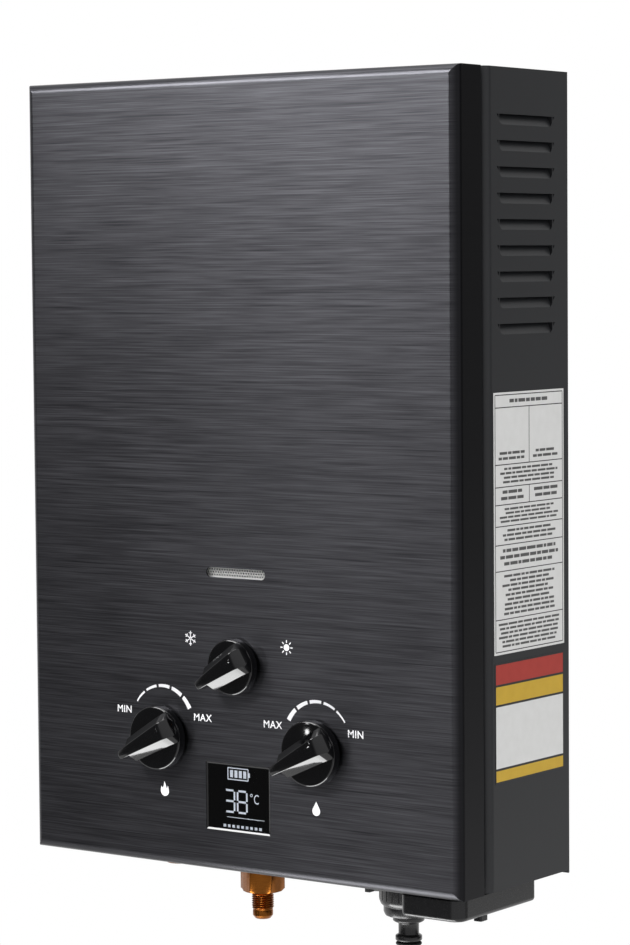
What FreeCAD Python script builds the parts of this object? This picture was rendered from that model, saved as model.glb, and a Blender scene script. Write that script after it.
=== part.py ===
import FreeCAD, Part
import math
import os

import Sketcher
from FreeCAD import Placement, Rotation, Vector

# Wall-hung portable propane water heater, in millimetres.
# X runs to the right seen from the front, Y towards the wall, Z up.
# The origin lies on the wall plane, centred in width, level with the casing's bottom edge.

doc = FreeCAD.newDocument("water_heater")
sheet = doc.addObject("Spreadsheet::Sheet", "Dims")

DIMENSIONS = {
    # casing
    "casing_width": 295, "casing_depth": 110, "casing_height": 440,
    "sheet": 0.8, "back_sheet": 1.2, "back_drop": 1.5,
    "cover_depth": 23.5, "cover_bend": 5, "box_depth": 82, "side_bend": 5,
    "joggle": 5.5, "tongue": 18, "rear_flange": 12.5,
    "screw_x": 75, "screw_inset": 8, "screw_hole": 1.6,
    # louvres of one side
    "louvre_count": 9, "louvre_pitch": 13.9, "louvre_low": 304, "louvre_back": 42.45,
    "louvre_mouth": 57.6, "louvre_foot": 49.7, "louvre_tall": 5.6, "louvre_press": 3.2,
    # exhaust slots in the top, air slots in the bottom
    "flue_slots": 9, "flue_pitch": 14, "air_slots": 7, "air_pitch": 11, "slot_width": 5,
    # openings of the front
    "window_width": 44.6, "window_tall": 38.3, "window_x": 0.6, "window_z": 41.9,
    "sight_width": 40.5, "sight_tall": 5.5, "sight_x": 0.4, "sight_z": 166.8, "sight_gap": 2.7,
    # knobs and their spindles
    "gas_x": -53, "water_x": 53.3, "knob_z": 72, "season_x": 0.6, "season_z": 115.5,
    "knob_radius": 18, "season_radius": 15.5, "knob_gap": 0.8, "disc_face": 7, "grip_face": 15,
    "knob_reach": 23.5, "season_reach": 21.5, "grip_tip": 2.8, "grip_tail": 6.2, "grip_flare": 3.4,
    "knob_angle": 28, "season_angle": 31,
    "spindle_radius": 3, "plug_radius": 6, "running_gap": 0.06, "valve_face": 86,
    # fittings below the casing
    "fitting_back": 58, "gas_inlet_x": -22, "gas_thread": 6.35, "gas_hex": 22, "gas_drop": 36.5,
    "water_inlet_x": 79, "union_radius": 16.4, "union_step": 13.9, "spigot_nose": 6.4, "spigot_drop": 55,
    "hot_x": -104, "hot_back": 28.5, "hot_thread": 10.45, "hot_drop": 17,
    "drain_x": 50, "drain_back": 46, "drain_drop": 14,
    # battery box
    "tray_x": 122.4, "tray_width": 36, "tray_front": 98, "tray_rear": 28, "tray_tall": 66, "tray_wall": 1.2,
    "lid_x": 124, "lid_width": 39, "lid_front": 104, "lid_drop": 12.8, "lid_rim": 1.2, "lid_wall": 2,
    "lid_pin_back": 30.5, "lid_pin_z": -4, "cell_radius": 16.5, "cell_body": 59.5, "cell_nub": 1.5,
    # water valve linkage
    "rod_back": 60, "rod_z": 74, "rod_radius": 2, "rod_travel": 4, "collar_radius": 7,
    "lever_x": 1, "lever_z": 93, "housing_radius": 25, "diaphragm_x": 28.5,
    # burner and heat exchanger
    "burner_count": 7, "burner_pitch": 22, "burner_low": 134, "burner_high": 160,
    "box_half": 86, "box_front": 79, "box_rear": 16, "fire_low": 176, "fire_high": 290, "fin_high": 336,
    "fin_count": 22, "fin_pitch": 7.4, "tube_radius": 5, "row_back": 28.5, "row_pitch": 16, "row_z": 313,
    "coil_z": 225, "coil_half": 94, "coil_front": 87, "coil_rear": 7.6, "coil_bend": 12, "riser_x": 110,
    "hood_half": 64, "hood_front": 72, "hood_rear": 14,
    # hanging holes in the back
    "hang_span": 150, "hang_z": 400, "hang_radius": 5, "hang_slot": 2.5, "lower_z": 22, "lower_radius": 3,
}

for row, (alias, size) in enumerate(DIMENSIONS.items(), start=1):
    sheet.set(f"A{row}", alias)
    sheet.set(f"B{row}", str(size))
    sheet.setAlias(f"B{row}", alias)
doc.recompute()

# Expressions used by many pieces
HALF = "Dims.casing_width / 2"
FRONT = "-Dims.casing_depth"
COVER_REAR = "Dims.cover_depth - Dims.casing_depth"
COVER_INSIDE = "Dims.sheet - Dims.casing_depth"
BOX_FRONT = "-Dims.box_depth"
TONGUE_END = "-Dims.box_depth - Dims.tongue"
SCREW_Y = f"{TONGUE_END} + Dims.screw_inset"
WALL_INSIDE = "-Dims.back_sheet"
TOP = "Dims.casing_height"
VALVE_FACE = "-Dims.valve_face"
ROD_Y = "-Dims.rod_back"
FITTING_Y = "-Dims.fitting_back"

X_AXIS = Vector(1, 0, 0)
Y_AXIS = Vector(0, 1, 0)
Z_AXIS = Vector(0, 0, 1)

pieces = []


def value(expression):
    """Works an expression out to a plain number."""
    return float(sheet.evalExpression(str(expression)))


def piece(item, label):
    """Marks an object as a finished sub-part; its label names its file."""
    item.Label = label
    pieces.append(item)
    return item


def at(item, x=0, y=0, z=0):
    """Ties an object's place to the sheet."""
    for axis, place in zip("xyz", (x, y, z)):
        item.setExpression(f"Placement.Base.{axis}", str(place))
    return item


def block(name, low, high):
    """A box between two corners."""
    item = doc.addObject("Part::Box", name)
    for prop, a, b in zip(("Length", "Width", "Height"), low, high):
        item.setExpression(prop, f"({b}) - ({a})")
    return at(item, *low)


def rod(name, foot, direction, radius, length):
    """A round bar that starts at foot and runs along direction."""
    item = doc.addObject("Part::Cylinder", name)
    item.setExpression("Radius", str(radius))
    item.setExpression("Height", str(length))
    item.Placement = Placement(Vector(), Rotation(Z_AXIS, direction))
    return at(item, *foot)


def cut(name, base, tool):
    item = doc.addObject("Part::Cut", name)
    item.Base = base
    item.Tool = tool
    return item


def fuse(name, items):
    item = doc.addObject("Part::MultiFuse", name)
    item.Shapes = items
    item.Refine = True
    return item


def group(name, items):
    """Separate solids that share one node."""
    item = doc.addObject("Part::Compound", name)
    item.Links = items
    return item


def new_body(name):
    return doc.addObject("PartDesign::Body", name)


def origin_part(body, role):
    return next(f for f in body.Origin.OriginFeatures if f.Role == role)


def new_sketch(body, plane, offset=0):
    sketch = body.newObject("Sketcher::SketchObject", f"{body.Name}_sketch")
    sketch.AttachmentSupport = [(origin_part(body, plane), "")]
    sketch.MapMode = "FlatFace"
    sketch.setExpression("AttachmentOffset.Base.z", str(offset))
    return sketch


def pin_point(sketch, line, x, y):
    """Holds the start of a line at a place given by two expressions."""
    for kind, place, axis in (("DistanceX", x, -2), ("DistanceY", y, -1)):
        size = value(place)
        if abs(size) < 1e-9:
            sketch.addConstraint(Sketcher.Constraint("PointOnObject", line, 1, axis))
        else:
            index = sketch.addConstraint(Sketcher.Constraint(kind, -1, 1, line, 1, size))
            sketch.setExpression(f"Constraints[{index}]", str(place))


def polygon(sketch, corners):
    """A closed outline of straight lines through corners tied to the sheet."""
    first = sketch.GeometryCount
    spots = [Vector(value(x), value(y), 0) for x, y in corners]
    for a, b in zip(spots, spots[1:] + spots[:1]):
        sketch.addGeometry(Part.LineSegment(a, b), False)
    count = len(corners)
    for i in range(count):
        follow = first + (i + 1) % count
        sketch.addConstraint(Sketcher.Constraint("Coincident", first + i, 2, follow, 1))
    for i, (x, y) in enumerate(corners):
        pin_point(sketch, first + i, x, y)


def rectangle(sketch, x0, x1, y0, y1):
    polygon(sketch, [(x0, y0), (x1, y0), (x1, y1), (x0, y1)])


def circle(sketch, x, y, radius):
    """A circle whose centre and radius are tied to the sheet."""
    index = sketch.addGeometry(Part.Circle(Vector(value(x), value(y), 0), Z_AXIS, value(radius)), False)
    bound = sketch.addConstraint(Sketcher.Constraint("Radius", index, value(radius)))
    sketch.setExpression(f"Constraints[{bound}]", str(radius))
    for kind, place, axis in (("DistanceX", x, -2), ("DistanceY", y, -1)):
        size = value(place)
        if abs(size) < 1e-9:
            sketch.addConstraint(Sketcher.Constraint("PointOnObject", index, 3, axis))
        else:
            bound = sketch.addConstraint(Sketcher.Constraint(kind, -1, 1, index, 3, size))
            sketch.setExpression(f"Constraints[{bound}]", str(place))


def rounded(sketch, corners):
    """A closed outline whose corners (x, y, radius) are tangent arcs."""
    spots = [(Vector(value(x), value(y), 0), value(r)) for x, y, r in corners]
    ends = []
    for i, (spot, radius) in enumerate(spots):
        back = (spots[i - 1][0] - spot).normalize()
        ahead = (spots[(i + 1) % len(spots)][0] - spot).normalize()
        half = back.getAngle(ahead) / 2
        reach = radius / math.tan(half)
        middle = spot + (back + ahead).normalize() * (radius / math.sin(half) - radius)
        ends.append((spot + back * reach, middle, spot + ahead * reach, radius))
    for (enter, middle, leave, radius), following in zip(ends, ends[1:] + ends[:1]):
        if radius:
            sketch.addGeometry(Part.Arc(enter, middle, leave), False)
        sketch.addGeometry(Part.LineSegment(leave, following[0]), False)


def wedge(sketch, tip_x, tip_half, tail_x, tail_half, tip_round, tail_round):
    """A bar's outline along X, narrow at the tip and wide at the tail, with rounded corners."""
    rounded(sketch, [(tip_x, f"-{tip_half}", tip_round), (tail_x, f"-{tail_half}", tail_round),
                     (tail_x, tail_half, tail_round), (tip_x, tip_half, tip_round)])


def extrude(body, sketch, length, kind="Pad", both=False, reverse=False, taper=0):
    """A pad or pocket of a sketch; both sides of its plane where both is set."""
    feature = body.newObject(f"PartDesign::{kind}", f"{body.Name}_{kind.lower()}")
    feature.Profile = sketch
    feature.setExpression("Length", str(length))
    feature.SideType = "Symmetric" if both else "One side"
    feature.Reversed = reverse
    feature.TaperAngle = taper
    sketch.Visibility = False
    return feature


def pocket(body, sketch, length, both=False, reverse=False):
    """Cuts a sketch into the solid and makes sure that it took something away."""
    doc.recompute()
    before = body.Shape.Volume
    feature = extrude(body, sketch, length, "Pocket", both, reverse)
    doc.recompute()
    if body.Shape.Volume > before - 1e-3:
        raise RuntimeError(f"{body.Name}: a pocket cut nothing")
    return feature


def turn(body, sketch):
    """A solid of revolution round the sketch's upright axis."""
    feature = body.newObject("PartDesign::Revolution", f"{body.Name}_turn")
    feature.Profile = sketch
    feature.ReferenceAxis = (sketch, ["V_Axis"])
    feature.Angle = 360
    sketch.Visibility = False
    return feature


def repeat(body, features, role, pitch, count):
    """A row of equal features along one of the body's axes."""
    row_of = body.newObject("PartDesign::LinearPattern", f"{body.Name}_row")
    row_of.Originals = features
    row_of.Direction = (origin_part(body, role), [""])
    row_of.Mode = "Spacing"
    row_of.setExpression("Offset", str(pitch))
    row_of.setExpression("Occurrences", str(count))
    body.Tip = row_of
    return row_of


def soften(body, radius, pick):
    """Rounds the edges of the body that pick accepts by their two ends."""
    doc.recompute()
    base = body.Tip
    names = []
    for number, edge in enumerate(base.Shape.Edges, start=1):
        if len(edge.Vertexes) == 2 and pick(edge.Vertexes[0].Point, edge.Vertexes[1].Point):
            names.append(f"Edge{number}")
    if not names:
        raise RuntimeError(f"{body.Name}: no edge to round")
    feature = body.newObject("PartDesign::Fillet", f"{body.Name}_round")
    feature.Base = (base, names)
    feature.setExpression("Radius", str(radius))
    return feature


def near(a, b):
    return abs(a - b) < 0.01


def turned(name, profile, foot=(0, 0, 0), direction=Z_AXIS):
    """A turned piece: profile holds (radius, height) pairs, foot its zero, direction its axis."""
    body = new_body(name)
    sketch = new_sketch(body, "XZ_Plane")
    polygon(sketch, profile)
    turn(body, sketch)
    body.Placement = Placement(Vector(), Rotation(Z_AXIS, direction))
    return at(body, *foot)


def hexagon(sketch, across_flats):
    """A hexagon about the sketch's origin."""
    corner = value(across_flats) / math.sqrt(3)
    spots = [Vector(corner * math.cos(math.radians(60 * i)), corner * math.sin(math.radians(60 * i)), 0)
             for i in range(6)]
    for a, b in zip(spots, spots[1:] + spots[:1]):
        sketch.addGeometry(Part.LineSegment(a, b), False)


def make_front_cover():
    """Shallow pan of bent sheet with the cut-outs of the front."""
    body = new_body("front_cover_body")
    outline = new_sketch(body, "XZ_Plane", f"-({COVER_REAR})")
    rectangle(outline, f"-{HALF}", HALF, 0, TOP)
    extrude(body, outline, "Dims.cover_depth")
    front = value(FRONT)
    soften(body, "Dims.cover_bend", lambda a, b: near(a.y, front) and near(b.y, front))
    doc.recompute()
    base = body.Tip
    rear = value(COVER_REAR)
    open_face = next(f"Face{i}" for i, face in enumerate(base.Shape.Faces, start=1)
                     if near(face.BoundBox.YMin, rear) and near(face.BoundBox.YMax, rear))
    shell = body.newObject("PartDesign::Thickness", "front_cover_shell")
    shell.Base = (base, [open_face])
    shell.setExpression("Value", "Dims.sheet")
    shell.Reversed = True
    doc.recompute()

    openings = new_sketch(body, "XZ_Plane", "Dims.casing_depth")
    rectangle(openings, "Dims.window_x - Dims.window_width / 2", "Dims.window_x + Dims.window_width / 2",
              "Dims.window_z - Dims.window_tall / 2", "Dims.window_z + Dims.window_tall / 2")
    for x, z in (("Dims.gas_x", "Dims.knob_z"), ("Dims.water_x", "Dims.knob_z"),
                 ("Dims.season_x", "Dims.season_z")):
        circle(openings, x, z, "Dims.spindle_radius + 2")
    pocket(body, openings, "Dims.sheet * 2")

    slot = new_sketch(body, "XZ_Plane", "Dims.casing_depth")
    half_tall = "Dims.sight_tall / 2"
    end = value(half_tall) - 0.01
    rounded(slot, [(f"Dims.sight_x {side} Dims.sight_width / 2", f"Dims.sight_z {rise} {half_tall}", end)
                   for side, rise in (("-", "-"), ("+", "-"), ("+", "+"), ("-", "+"))])
    pocket(body, slot, "Dims.sheet * 2")

    notch = new_sketch(body, "XY_Plane")
    rectangle(notch, "Dims.tray_x - Dims.tray_width / 2 - 1", "Dims.lid_x + Dims.lid_width / 2",
              "-Dims.tray_front - 1", f"{COVER_REAR} + 1")
    pocket(body, notch, 4, both=True)

    holes = new_sketch(body, "XY_Plane")
    for side in (-1, 1):
        circle(holes, f"{side} * Dims.screw_x", SCREW_Y, "Dims.screw_hole")
    pocket(body, holes, 4, both=True)
    return piece(body, "front_cover")


def make_side_panel(label, side):
    """Side sheet: rear flange, flat side with louvres, joggle and the tongue inside the cover."""
    body = new_body(f"{label}_body")
    outline = new_sketch(body, "XY_Plane")
    profile = [(f"{HALF} - Dims.rear_flange", WALL_INSIDE), (HALF, WALL_INSIDE), (HALF, BOX_FRONT),
               (f"{HALF} - Dims.joggle", BOX_FRONT), (f"{HALF} - Dims.joggle", TONGUE_END),
               (f"{HALF} - Dims.joggle - Dims.sheet", TONGUE_END),
               (f"{HALF} - Dims.joggle - Dims.sheet", f"{BOX_FRONT} + Dims.sheet"),
               (f"{HALF} - Dims.sheet", f"{BOX_FRONT} + Dims.sheet"),
               (f"{HALF} - Dims.sheet", f"{WALL_INSIDE} - Dims.sheet"),
               (f"{HALF} - Dims.rear_flange", f"{WALL_INSIDE} - Dims.sheet")]
    polygon(outline, [(f"{side} * ({x})", y) for x, y in profile])
    extrude(body, outline, TOP)
    half, front, thick = value(HALF), value(BOX_FRONT), value("Dims.sheet")

    def upright_at(x, y):
        return lambda a, b: all(near(p.x, side * x) and near(p.y, y) for p in (a, b))

    soften(body, "Dims.side_bend", upright_at(half, front))
    soften(body, "Dims.side_bend - Dims.sheet", upright_at(half - thick, front + thick))

    ends = new_sketch(body, "XZ_Plane", "Dims.box_depth + 0.01")
    for low, high in (("-1", "7"), (f"{TOP} - 7", f"{TOP} + 1")):
        rectangle(ends, f"{side} * ({HALF} - Dims.joggle - 2)", f"{side} * ({HALF} - Dims.joggle + 1)",
                  low, high)
    pocket(body, ends, "Dims.tongue + 1", reverse=True)
    flange_ends = new_sketch(body, "XZ_Plane", "Dims.back_sheet - 0.5")
    for low, high in (("-1", "1"), (f"{TOP} - 1", f"{TOP} + 1")):
        rectangle(flange_ends, f"{side} * ({HALF} - Dims.rear_flange - 1)", f"{side} * ({HALF} - Dims.sheet)",
                  low, high)
    pocket(body, flange_ends, "Dims.sheet + 1", reverse=True)

    mouth = new_sketch(body, "YZ_Plane", f"{side} * {HALF}")
    foot_z = "Dims.louvre_low - Dims.louvre_tall"
    rounded(mouth, [("-Dims.louvre_back - Dims.louvre_mouth / 2", "Dims.louvre_low", 0),
                    ("-Dims.louvre_back + Dims.louvre_mouth / 2", "Dims.louvre_low", 0),
                    ("-Dims.louvre_back + Dims.louvre_foot / 2", foot_z, 3.2),
                    ("-Dims.louvre_back - Dims.louvre_foot / 2", foot_z, 3.2)])
    opening = pocket(body, mouth, "Dims.sheet * 4", both=True)
    scoop = new_sketch(body, "XZ_Plane", "Dims.louvre_back")
    polygon(scoop, [(f"{side} * ({x})", z) for x, z in (
        (HALF, f"{foot_z} - 0.3"), (f"{HALF} - Dims.louvre_press", "Dims.louvre_low"),
        (f"{HALF} - Dims.louvre_press - Dims.sheet", "Dims.louvre_low"),
        (f"{HALF} - Dims.sheet", f"{foot_z} - 0.6"))])
    hood = extrude(body, scoop, "Dims.louvre_mouth / 2 + Dims.louvre_foot / 2", both=True)
    cheeks = []
    cheek_reach = "(Dims.louvre_mouth + Dims.louvre_foot) / 4"
    for end in ("-", "+"):
        cheek = new_sketch(body, "XZ_Plane", f"Dims.louvre_back {end} {cheek_reach}")
        polygon(cheek, [(f"{side} * ({x})", z) for x, z in (
            (HALF, foot_z), (HALF, "Dims.louvre_low + 0.3"),
            (f"{HALF} - Dims.louvre_press - Dims.sheet", "Dims.louvre_low"))])
        cheeks.append(extrude(body, cheek, "Dims.sheet", both=True))
    doc.recompute()
    repeat(body, [opening, hood] + cheeks, "Z_Axis", "Dims.louvre_pitch", "Dims.louvre_count")
    return piece(body, label)


def level(z, upside_down):
    """A height above the bottom edge, or the same distance below the top edge."""
    return f"{TOP} - ({z})" if upside_down else str(z)


def make_end_panel(label, upside_down):
    """Bottom or top sheet: rear flange, flat floor, joggle and the tongue inside the cover."""
    body = new_body(f"{label}_body")
    outline = new_sketch(body, "YZ_Plane")
    profile = [(WALL_INSIDE, 10), (WALL_INSIDE, 0), (BOX_FRONT, 0), (BOX_FRONT, "Dims.joggle"),
               (TONGUE_END, "Dims.joggle"), (TONGUE_END, "Dims.joggle + Dims.sheet"),
               (f"{BOX_FRONT} + Dims.sheet", "Dims.joggle + Dims.sheet"),
               (f"{BOX_FRONT} + Dims.sheet", "Dims.sheet"), (f"{WALL_INSIDE} - Dims.sheet", "Dims.sheet"),
               (f"{WALL_INSIDE} - Dims.sheet", 10)]
    polygon(outline, [(y, level(z, upside_down)) for y, z in profile])
    extrude(body, outline, f"2 * ({HALF} - Dims.sheet)", both=True)

    corners = new_sketch(body, "XY_Plane", level(0, upside_down))
    for side in ("", "-"):
        inner = f"{side}({HALF} - Dims.joggle - Dims.sheet)"
        rectangle(corners, inner, f"{side}({HALF})", f"{TONGUE_END} - 1", f"{BOX_FRONT} + Dims.side_bend")
        rectangle(corners, f"{side}({HALF} - Dims.rear_flange - 0.2)", f"{side}({HALF})",
                  f"{WALL_INSIDE} - Dims.sheet", WALL_INSIDE)
    pocket(body, corners, 40, both=True)
    return body


def slot_row(body, upside_down, first_x, rows, pitch, count):
    """A row of slots through the panel's flat floor; rows lists their ends in depth."""
    sketch = new_sketch(body, "XY_Plane", level(0, upside_down))
    for rear, front in rows:
        half = "Dims.slot_width / 2"
        rounded(sketch, [(f"{first_x} - {half}", front, 2.4), (f"{first_x} + {half}", front, 2.4),
                         (f"{first_x} + {half}", rear, 2.4), (f"{first_x} - {half}", rear, 2.4)])
    repeat(body, [pocket(body, sketch, 3, both=True)], "X_Axis", pitch, count)


def make_top_panel():
    body = make_end_panel("top_panel", True)
    slot_row(body, True, "-Dims.flue_pitch * (Dims.flue_slots - 1) / 2", ((-18, -40), (-46, -68)),
             "Dims.flue_pitch", "Dims.flue_slots")
    return piece(body, "top_panel")


def make_bottom_panel():
    body = make_end_panel("bottom_panel", False)
    slot_row(body, False, "-Dims.casing_width / 2 + 20", ((-46, -74),), "Dims.air_pitch", "Dims.air_slots")
    slot_row(body, False, "-3", ((-20, -74),), "Dims.air_pitch", 4)
    holes = new_sketch(body, "XY_Plane")
    for x, y, radius in (("Dims.gas_inlet_x", FITTING_Y, 9), ("Dims.water_inlet_x", FITTING_Y, 12.5),
                         ("Dims.hot_x", "-Dims.hot_back", 11.5), ("Dims.drain_x", "-Dims.drain_back", 6.5)):
        circle(holes, x, y, radius)
    pocket(body, holes, 4, both=True)
    bay = new_sketch(body, "XY_Plane")
    rectangle(bay, "Dims.tray_x - Dims.tray_width / 2", "Dims.tray_x + Dims.tray_width / 2",
              "-Dims.tray_front", "-Dims.tray_rear")
    pocket(body, bay, 20, both=True)
    screw_holes = new_sketch(body, "XY_Plane", "Dims.joggle")
    for side in (-1, 1):
        circle(screw_holes, f"{side} * Dims.screw_x", SCREW_Y, "Dims.screw_hole")
    pocket(body, screw_holes, 4, both=True)
    return piece(body, "bottom_panel")


def make_back_panel():
    """Flat plate with two hanging keyholes above and two screw holes below."""
    body = new_body("back_panel_body")
    outline = new_sketch(body, "XZ_Plane")
    rectangle(outline, f"-{HALF}", HALF, "-Dims.back_drop", TOP)
    extrude(body, outline, "Dims.back_sheet")
    round_holes = new_sketch(body, "XZ_Plane")
    for side in ("", "-"):
        circle(round_holes, f"{side}Dims.hang_span / 2", "Dims.hang_z", "Dims.hang_radius")
        circle(round_holes, f"{side}Dims.hang_span / 2", "Dims.lower_z", "Dims.lower_radius")
    pocket(body, round_holes, 4, both=True)
    necks = new_sketch(body, "XZ_Plane")
    for side in ("", "-"):
        middle = f"{side}Dims.hang_span / 2"
        rounded(necks, [(f"{middle} - Dims.hang_slot", "Dims.hang_z", 0),
                        (f"{middle} + Dims.hang_slot", "Dims.hang_z", 0),
                        (f"{middle} + Dims.hang_slot", "Dims.hang_z + 14", 2.4),
                        (f"{middle} - Dims.hang_slot", "Dims.hang_z + 14", 2.4)])
    pocket(body, necks, 4, both=True)
    return piece(body, "back_panel")


def make_cover_screws():
    """Two pan-head screws up through the cover's bottom flange into the tongue."""
    screws = []
    for side in (-1, 1):
        screws.append(turned(f"cover_screw_{side + 1}", [
            (0, -1.8), (2.2, -1.8), (3.2, -1.2), (3.2, 0), ("Dims.screw_hole", 0),
            ("Dims.screw_hole", 10), (0, 10.8)], (f"{side} * Dims.screw_x", SCREW_Y, 0)))
    return piece(group("cover_screws_group", screws), "cover_screws")


def make_sight_plate():
    """Hat-shaped strip behind the sight slot."""
    body = new_body("sight_plate_body")
    outline = new_sketch(body, "YZ_Plane", "Dims.sight_x")
    inside, web = COVER_INSIDE, f"{FRONT} + Dims.sight_gap"
    half = [(inside, -12), (inside, -5.2), (web, -5.2)]
    back = [(f"{web} + 0.6", -5.8), (f"{inside} + 0.6", -5.8), (f"{inside} + 0.6", -12)]
    profile = half + [(y, -z) for y, z in reversed(half)]
    profile += [(y, -z) for y, z in reversed(back)] + back
    polygon(outline, [(y, f"Dims.sight_z + {z}") for y, z in profile])
    extrude(body, outline, "Dims.sight_width + 20", both=True)
    return piece(body, "sight_plate")


def window_box(name, x_grow, z_grow, front, rear):
    """A block behind the display cut-out, grown past it by the given amounts."""
    x_half = f"(Dims.window_width / 2 + {x_grow})"
    z_half = f"(Dims.window_tall / 2 + {z_grow})"
    return block(name, (f"Dims.window_x - {x_half}", front, f"Dims.window_z - {z_half}"),
                 (f"Dims.window_x + {x_half}", rear, f"Dims.window_z + {z_half}"))


def make_display():
    """Housing behind the cut-out, window, liquid crystal cell and board, stacked in depth."""
    window_rear = f"{COVER_INSIDE} + 1.8"
    cell_rear = f"{COVER_INSIDE} + 4.4"
    housing_rear = f"{COVER_INSIDE} + 13"
    shell = window_box("housing_block", 4, 4, COVER_INSIDE, housing_rear)
    steps = fuse("housing_hollow", [
        window_box("hollow_window", 1.2, 1.2, COVER_INSIDE, window_rear),
        window_box("hollow_cell", -1.5, -1.5, window_rear, cell_rear),
        window_box("hollow_back", -4, -4, cell_rear, housing_rear)])
    piece(cut("display_housing_cut", shell, steps), "display_housing")
    piece(window_box("window_block", 1.2, 1.2, COVER_INSIDE, window_rear), "display_window")
    piece(window_box("cell_block", -1.5, -1.5, window_rear, cell_rear), "display_cell")
    piece(window_box("board_block", 2.5, 2.5, housing_rear, f"{housing_rear} + 1.6"), "display_board")


def make_knob(label, x, z, radius, reach, angle):
    """Round disc with a grip bar; modelled with the bar along X and the axis along -Y."""
    body = new_body(f"{label}_body")
    disc = new_sketch(body, "XY_Plane")
    edge = 1.6
    polygon(disc, [(0, "-Dims.knob_gap"), (f"{radius} - 0.8", "-Dims.knob_gap"),
                   (radius, "-Dims.knob_gap - 0.8"), (radius, "-Dims.disc_face"), (0, "-Dims.disc_face")])
    turn(body, disc)
    face = value("Dims.disc_face")
    doc.recompute()
    base = body.Tip
    rim = next(f"Edge{i}" for i, e in enumerate(base.Shape.Edges, start=1)
               if near(e.BoundBox.YMin, -face) and near(e.BoundBox.YMax, -face) and e.BoundBox.XLength > 5)
    rounding = body.newObject("PartDesign::Fillet", f"{label}_rim")
    rounding.Base = (base, [rim])
    rounding.Radius = edge

    grip = new_sketch(body, "XZ_Plane", "Dims.disc_face - 0.5")
    wedge(grip, f"-{reach}", "Dims.grip_tip", f"{radius} - 0.3", "Dims.grip_tail", 0.9, 5)
    extrude(body, grip, "Dims.grip_face - Dims.disc_face + 0.5", taper=-2.5)

    # the bar's foot flares out over the disc
    ramp = new_sketch(body, "XZ_Plane", "Dims.disc_face - 0.5")
    wedge(ramp, f"3.2 - {radius}", "(Dims.grip_tip + Dims.grip_flare)", f"{radius} - 5",
          "(Dims.grip_tail + Dims.grip_flare)", 1.5, 4)
    extrude(body, ramp, "Dims.grip_face - Dims.disc_face", taper=-24)

    # the bar's tail rolls down to the disc
    crest = value("Dims.grip_face")
    outer = value(radius)
    roll = new_sketch(body, "XY_Plane")
    start = Vector(outer - 8, -crest, 0)
    end = Vector(outer - 0.1, -face, 0)
    middle = Vector(outer - 2.5, -crest + 2.9, 0)
    beyond, above = outer + 3, -crest - 2
    roll.addGeometry(Part.Arc(start, middle, end), False)
    corners = [end, Vector(beyond, -face, 0), Vector(beyond, above, 0), Vector(start.x, above, 0), start]
    for a, b in zip(corners, corners[1:]):
        roll.addGeometry(Part.LineSegment(a, b), False)
    pocket(body, roll, "Dims.grip_tail * 4", both=True)

    bore = new_sketch(body, "XZ_Plane", "Dims.knob_gap")
    d_outline(bore, "Dims.spindle_radius")
    pocket(body, bore, 9, reverse=True)
    body.Placement = Placement(Vector(), Rotation(Y_AXIS, -value(angle)))
    at(body, x, FRONT, z)
    return piece(body, label)


def d_outline(sketch, radius):
    """A circle with a flat, the section of a spindle's end."""
    size = value(radius)
    flat = 0.55 * size
    side = math.sqrt(size ** 2 - flat ** 2)
    a, b = Vector(side, flat, 0), Vector(-side, flat, 0)
    sketch.addGeometry(Part.Arc(b, Vector(0, -size, 0), a), False)
    sketch.addGeometry(Part.LineSegment(a, b), False)


def make_spindle(label, x, z, angle):
    """Spindle with a flatted end in the knob and a ported plug in its valve."""
    body = new_body(f"{label}_body")
    tip = new_sketch(body, "XZ_Plane", "Dims.casing_depth + Dims.knob_gap")
    d_outline(tip, "Dims.spindle_radius")
    extrude(body, tip, 8.9)
    neck = new_sketch(body, "XZ_Plane", "Dims.valve_face")
    circle(neck, 0, 0, "Dims.spindle_radius")
    extrude(body, neck, "Dims.casing_depth + Dims.knob_gap - Dims.valve_face")
    plug = new_sketch(body, "XZ_Plane", "Dims.valve_face")
    circle(plug, 0, 0, "Dims.plug_radius")
    extrude(body, plug, 22, reverse=True)
    port = new_sketch(body, "XY_Plane")
    circle(port, 0, f"{VALVE_FACE} + 12", 2.5)
    pocket(body, port, 20, both=True)
    body.Placement = Placement(Vector(), Rotation(Y_AXIS, -value(angle)))
    at(body, x, 0, z)
    return piece(body, label)


def make_bonnets():
    """Square flanges with a neck that hold the three plugs in their valves."""
    bonnets = []
    for name, x, z in (("gas", "Dims.gas_x", "Dims.knob_z"), ("water", "Dims.water_x", "Dims.knob_z"),
                       ("season", "Dims.season_x", "Dims.season_z")):
        body = new_body(f"bonnet_{name}")
        flange = new_sketch(body, "XZ_Plane")
        rounded(flange, [(-11, -11, 3), (11, -11, 3), (11, 11, 3), (-11, 11, 3)])
        extrude(body, flange, 3)
        neck = new_sketch(body, "XZ_Plane", 3)
        circle(neck, 0, 0, 6.5)
        extrude(body, neck, 9)
        bore = new_sketch(body, "XZ_Plane")
        circle(bore, 0, 0, "Dims.spindle_radius + Dims.running_gap")
        pocket(body, bore, 30, both=True)
        at(body, x, VALVE_FACE, z)
        bonnets.append(body)
    return piece(group("bonnets_group", bonnets), "spindle_bonnets")


def valve_block(name, x_span, z_span, rear, bore_x, bore_z):
    """A cast valve block with the bore for a plug in its front face."""
    body = new_body(name)
    outline = new_sketch(body, "XZ_Plane", f"-({rear})")
    rounded(outline, [(x_span[0], z_span[0], 4), (x_span[1], z_span[0], 4),
                      (x_span[1], z_span[1], 4), (x_span[0], z_span[1], 4)])
    extrude(body, outline, f"Dims.valve_face + ({rear})")
    bore = new_sketch(body, "XZ_Plane", "Dims.valve_face")
    circle(bore, bore_x, bore_z, "Dims.plug_radius + Dims.running_gap")
    pocket(body, bore, 22.5)
    return body


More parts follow.
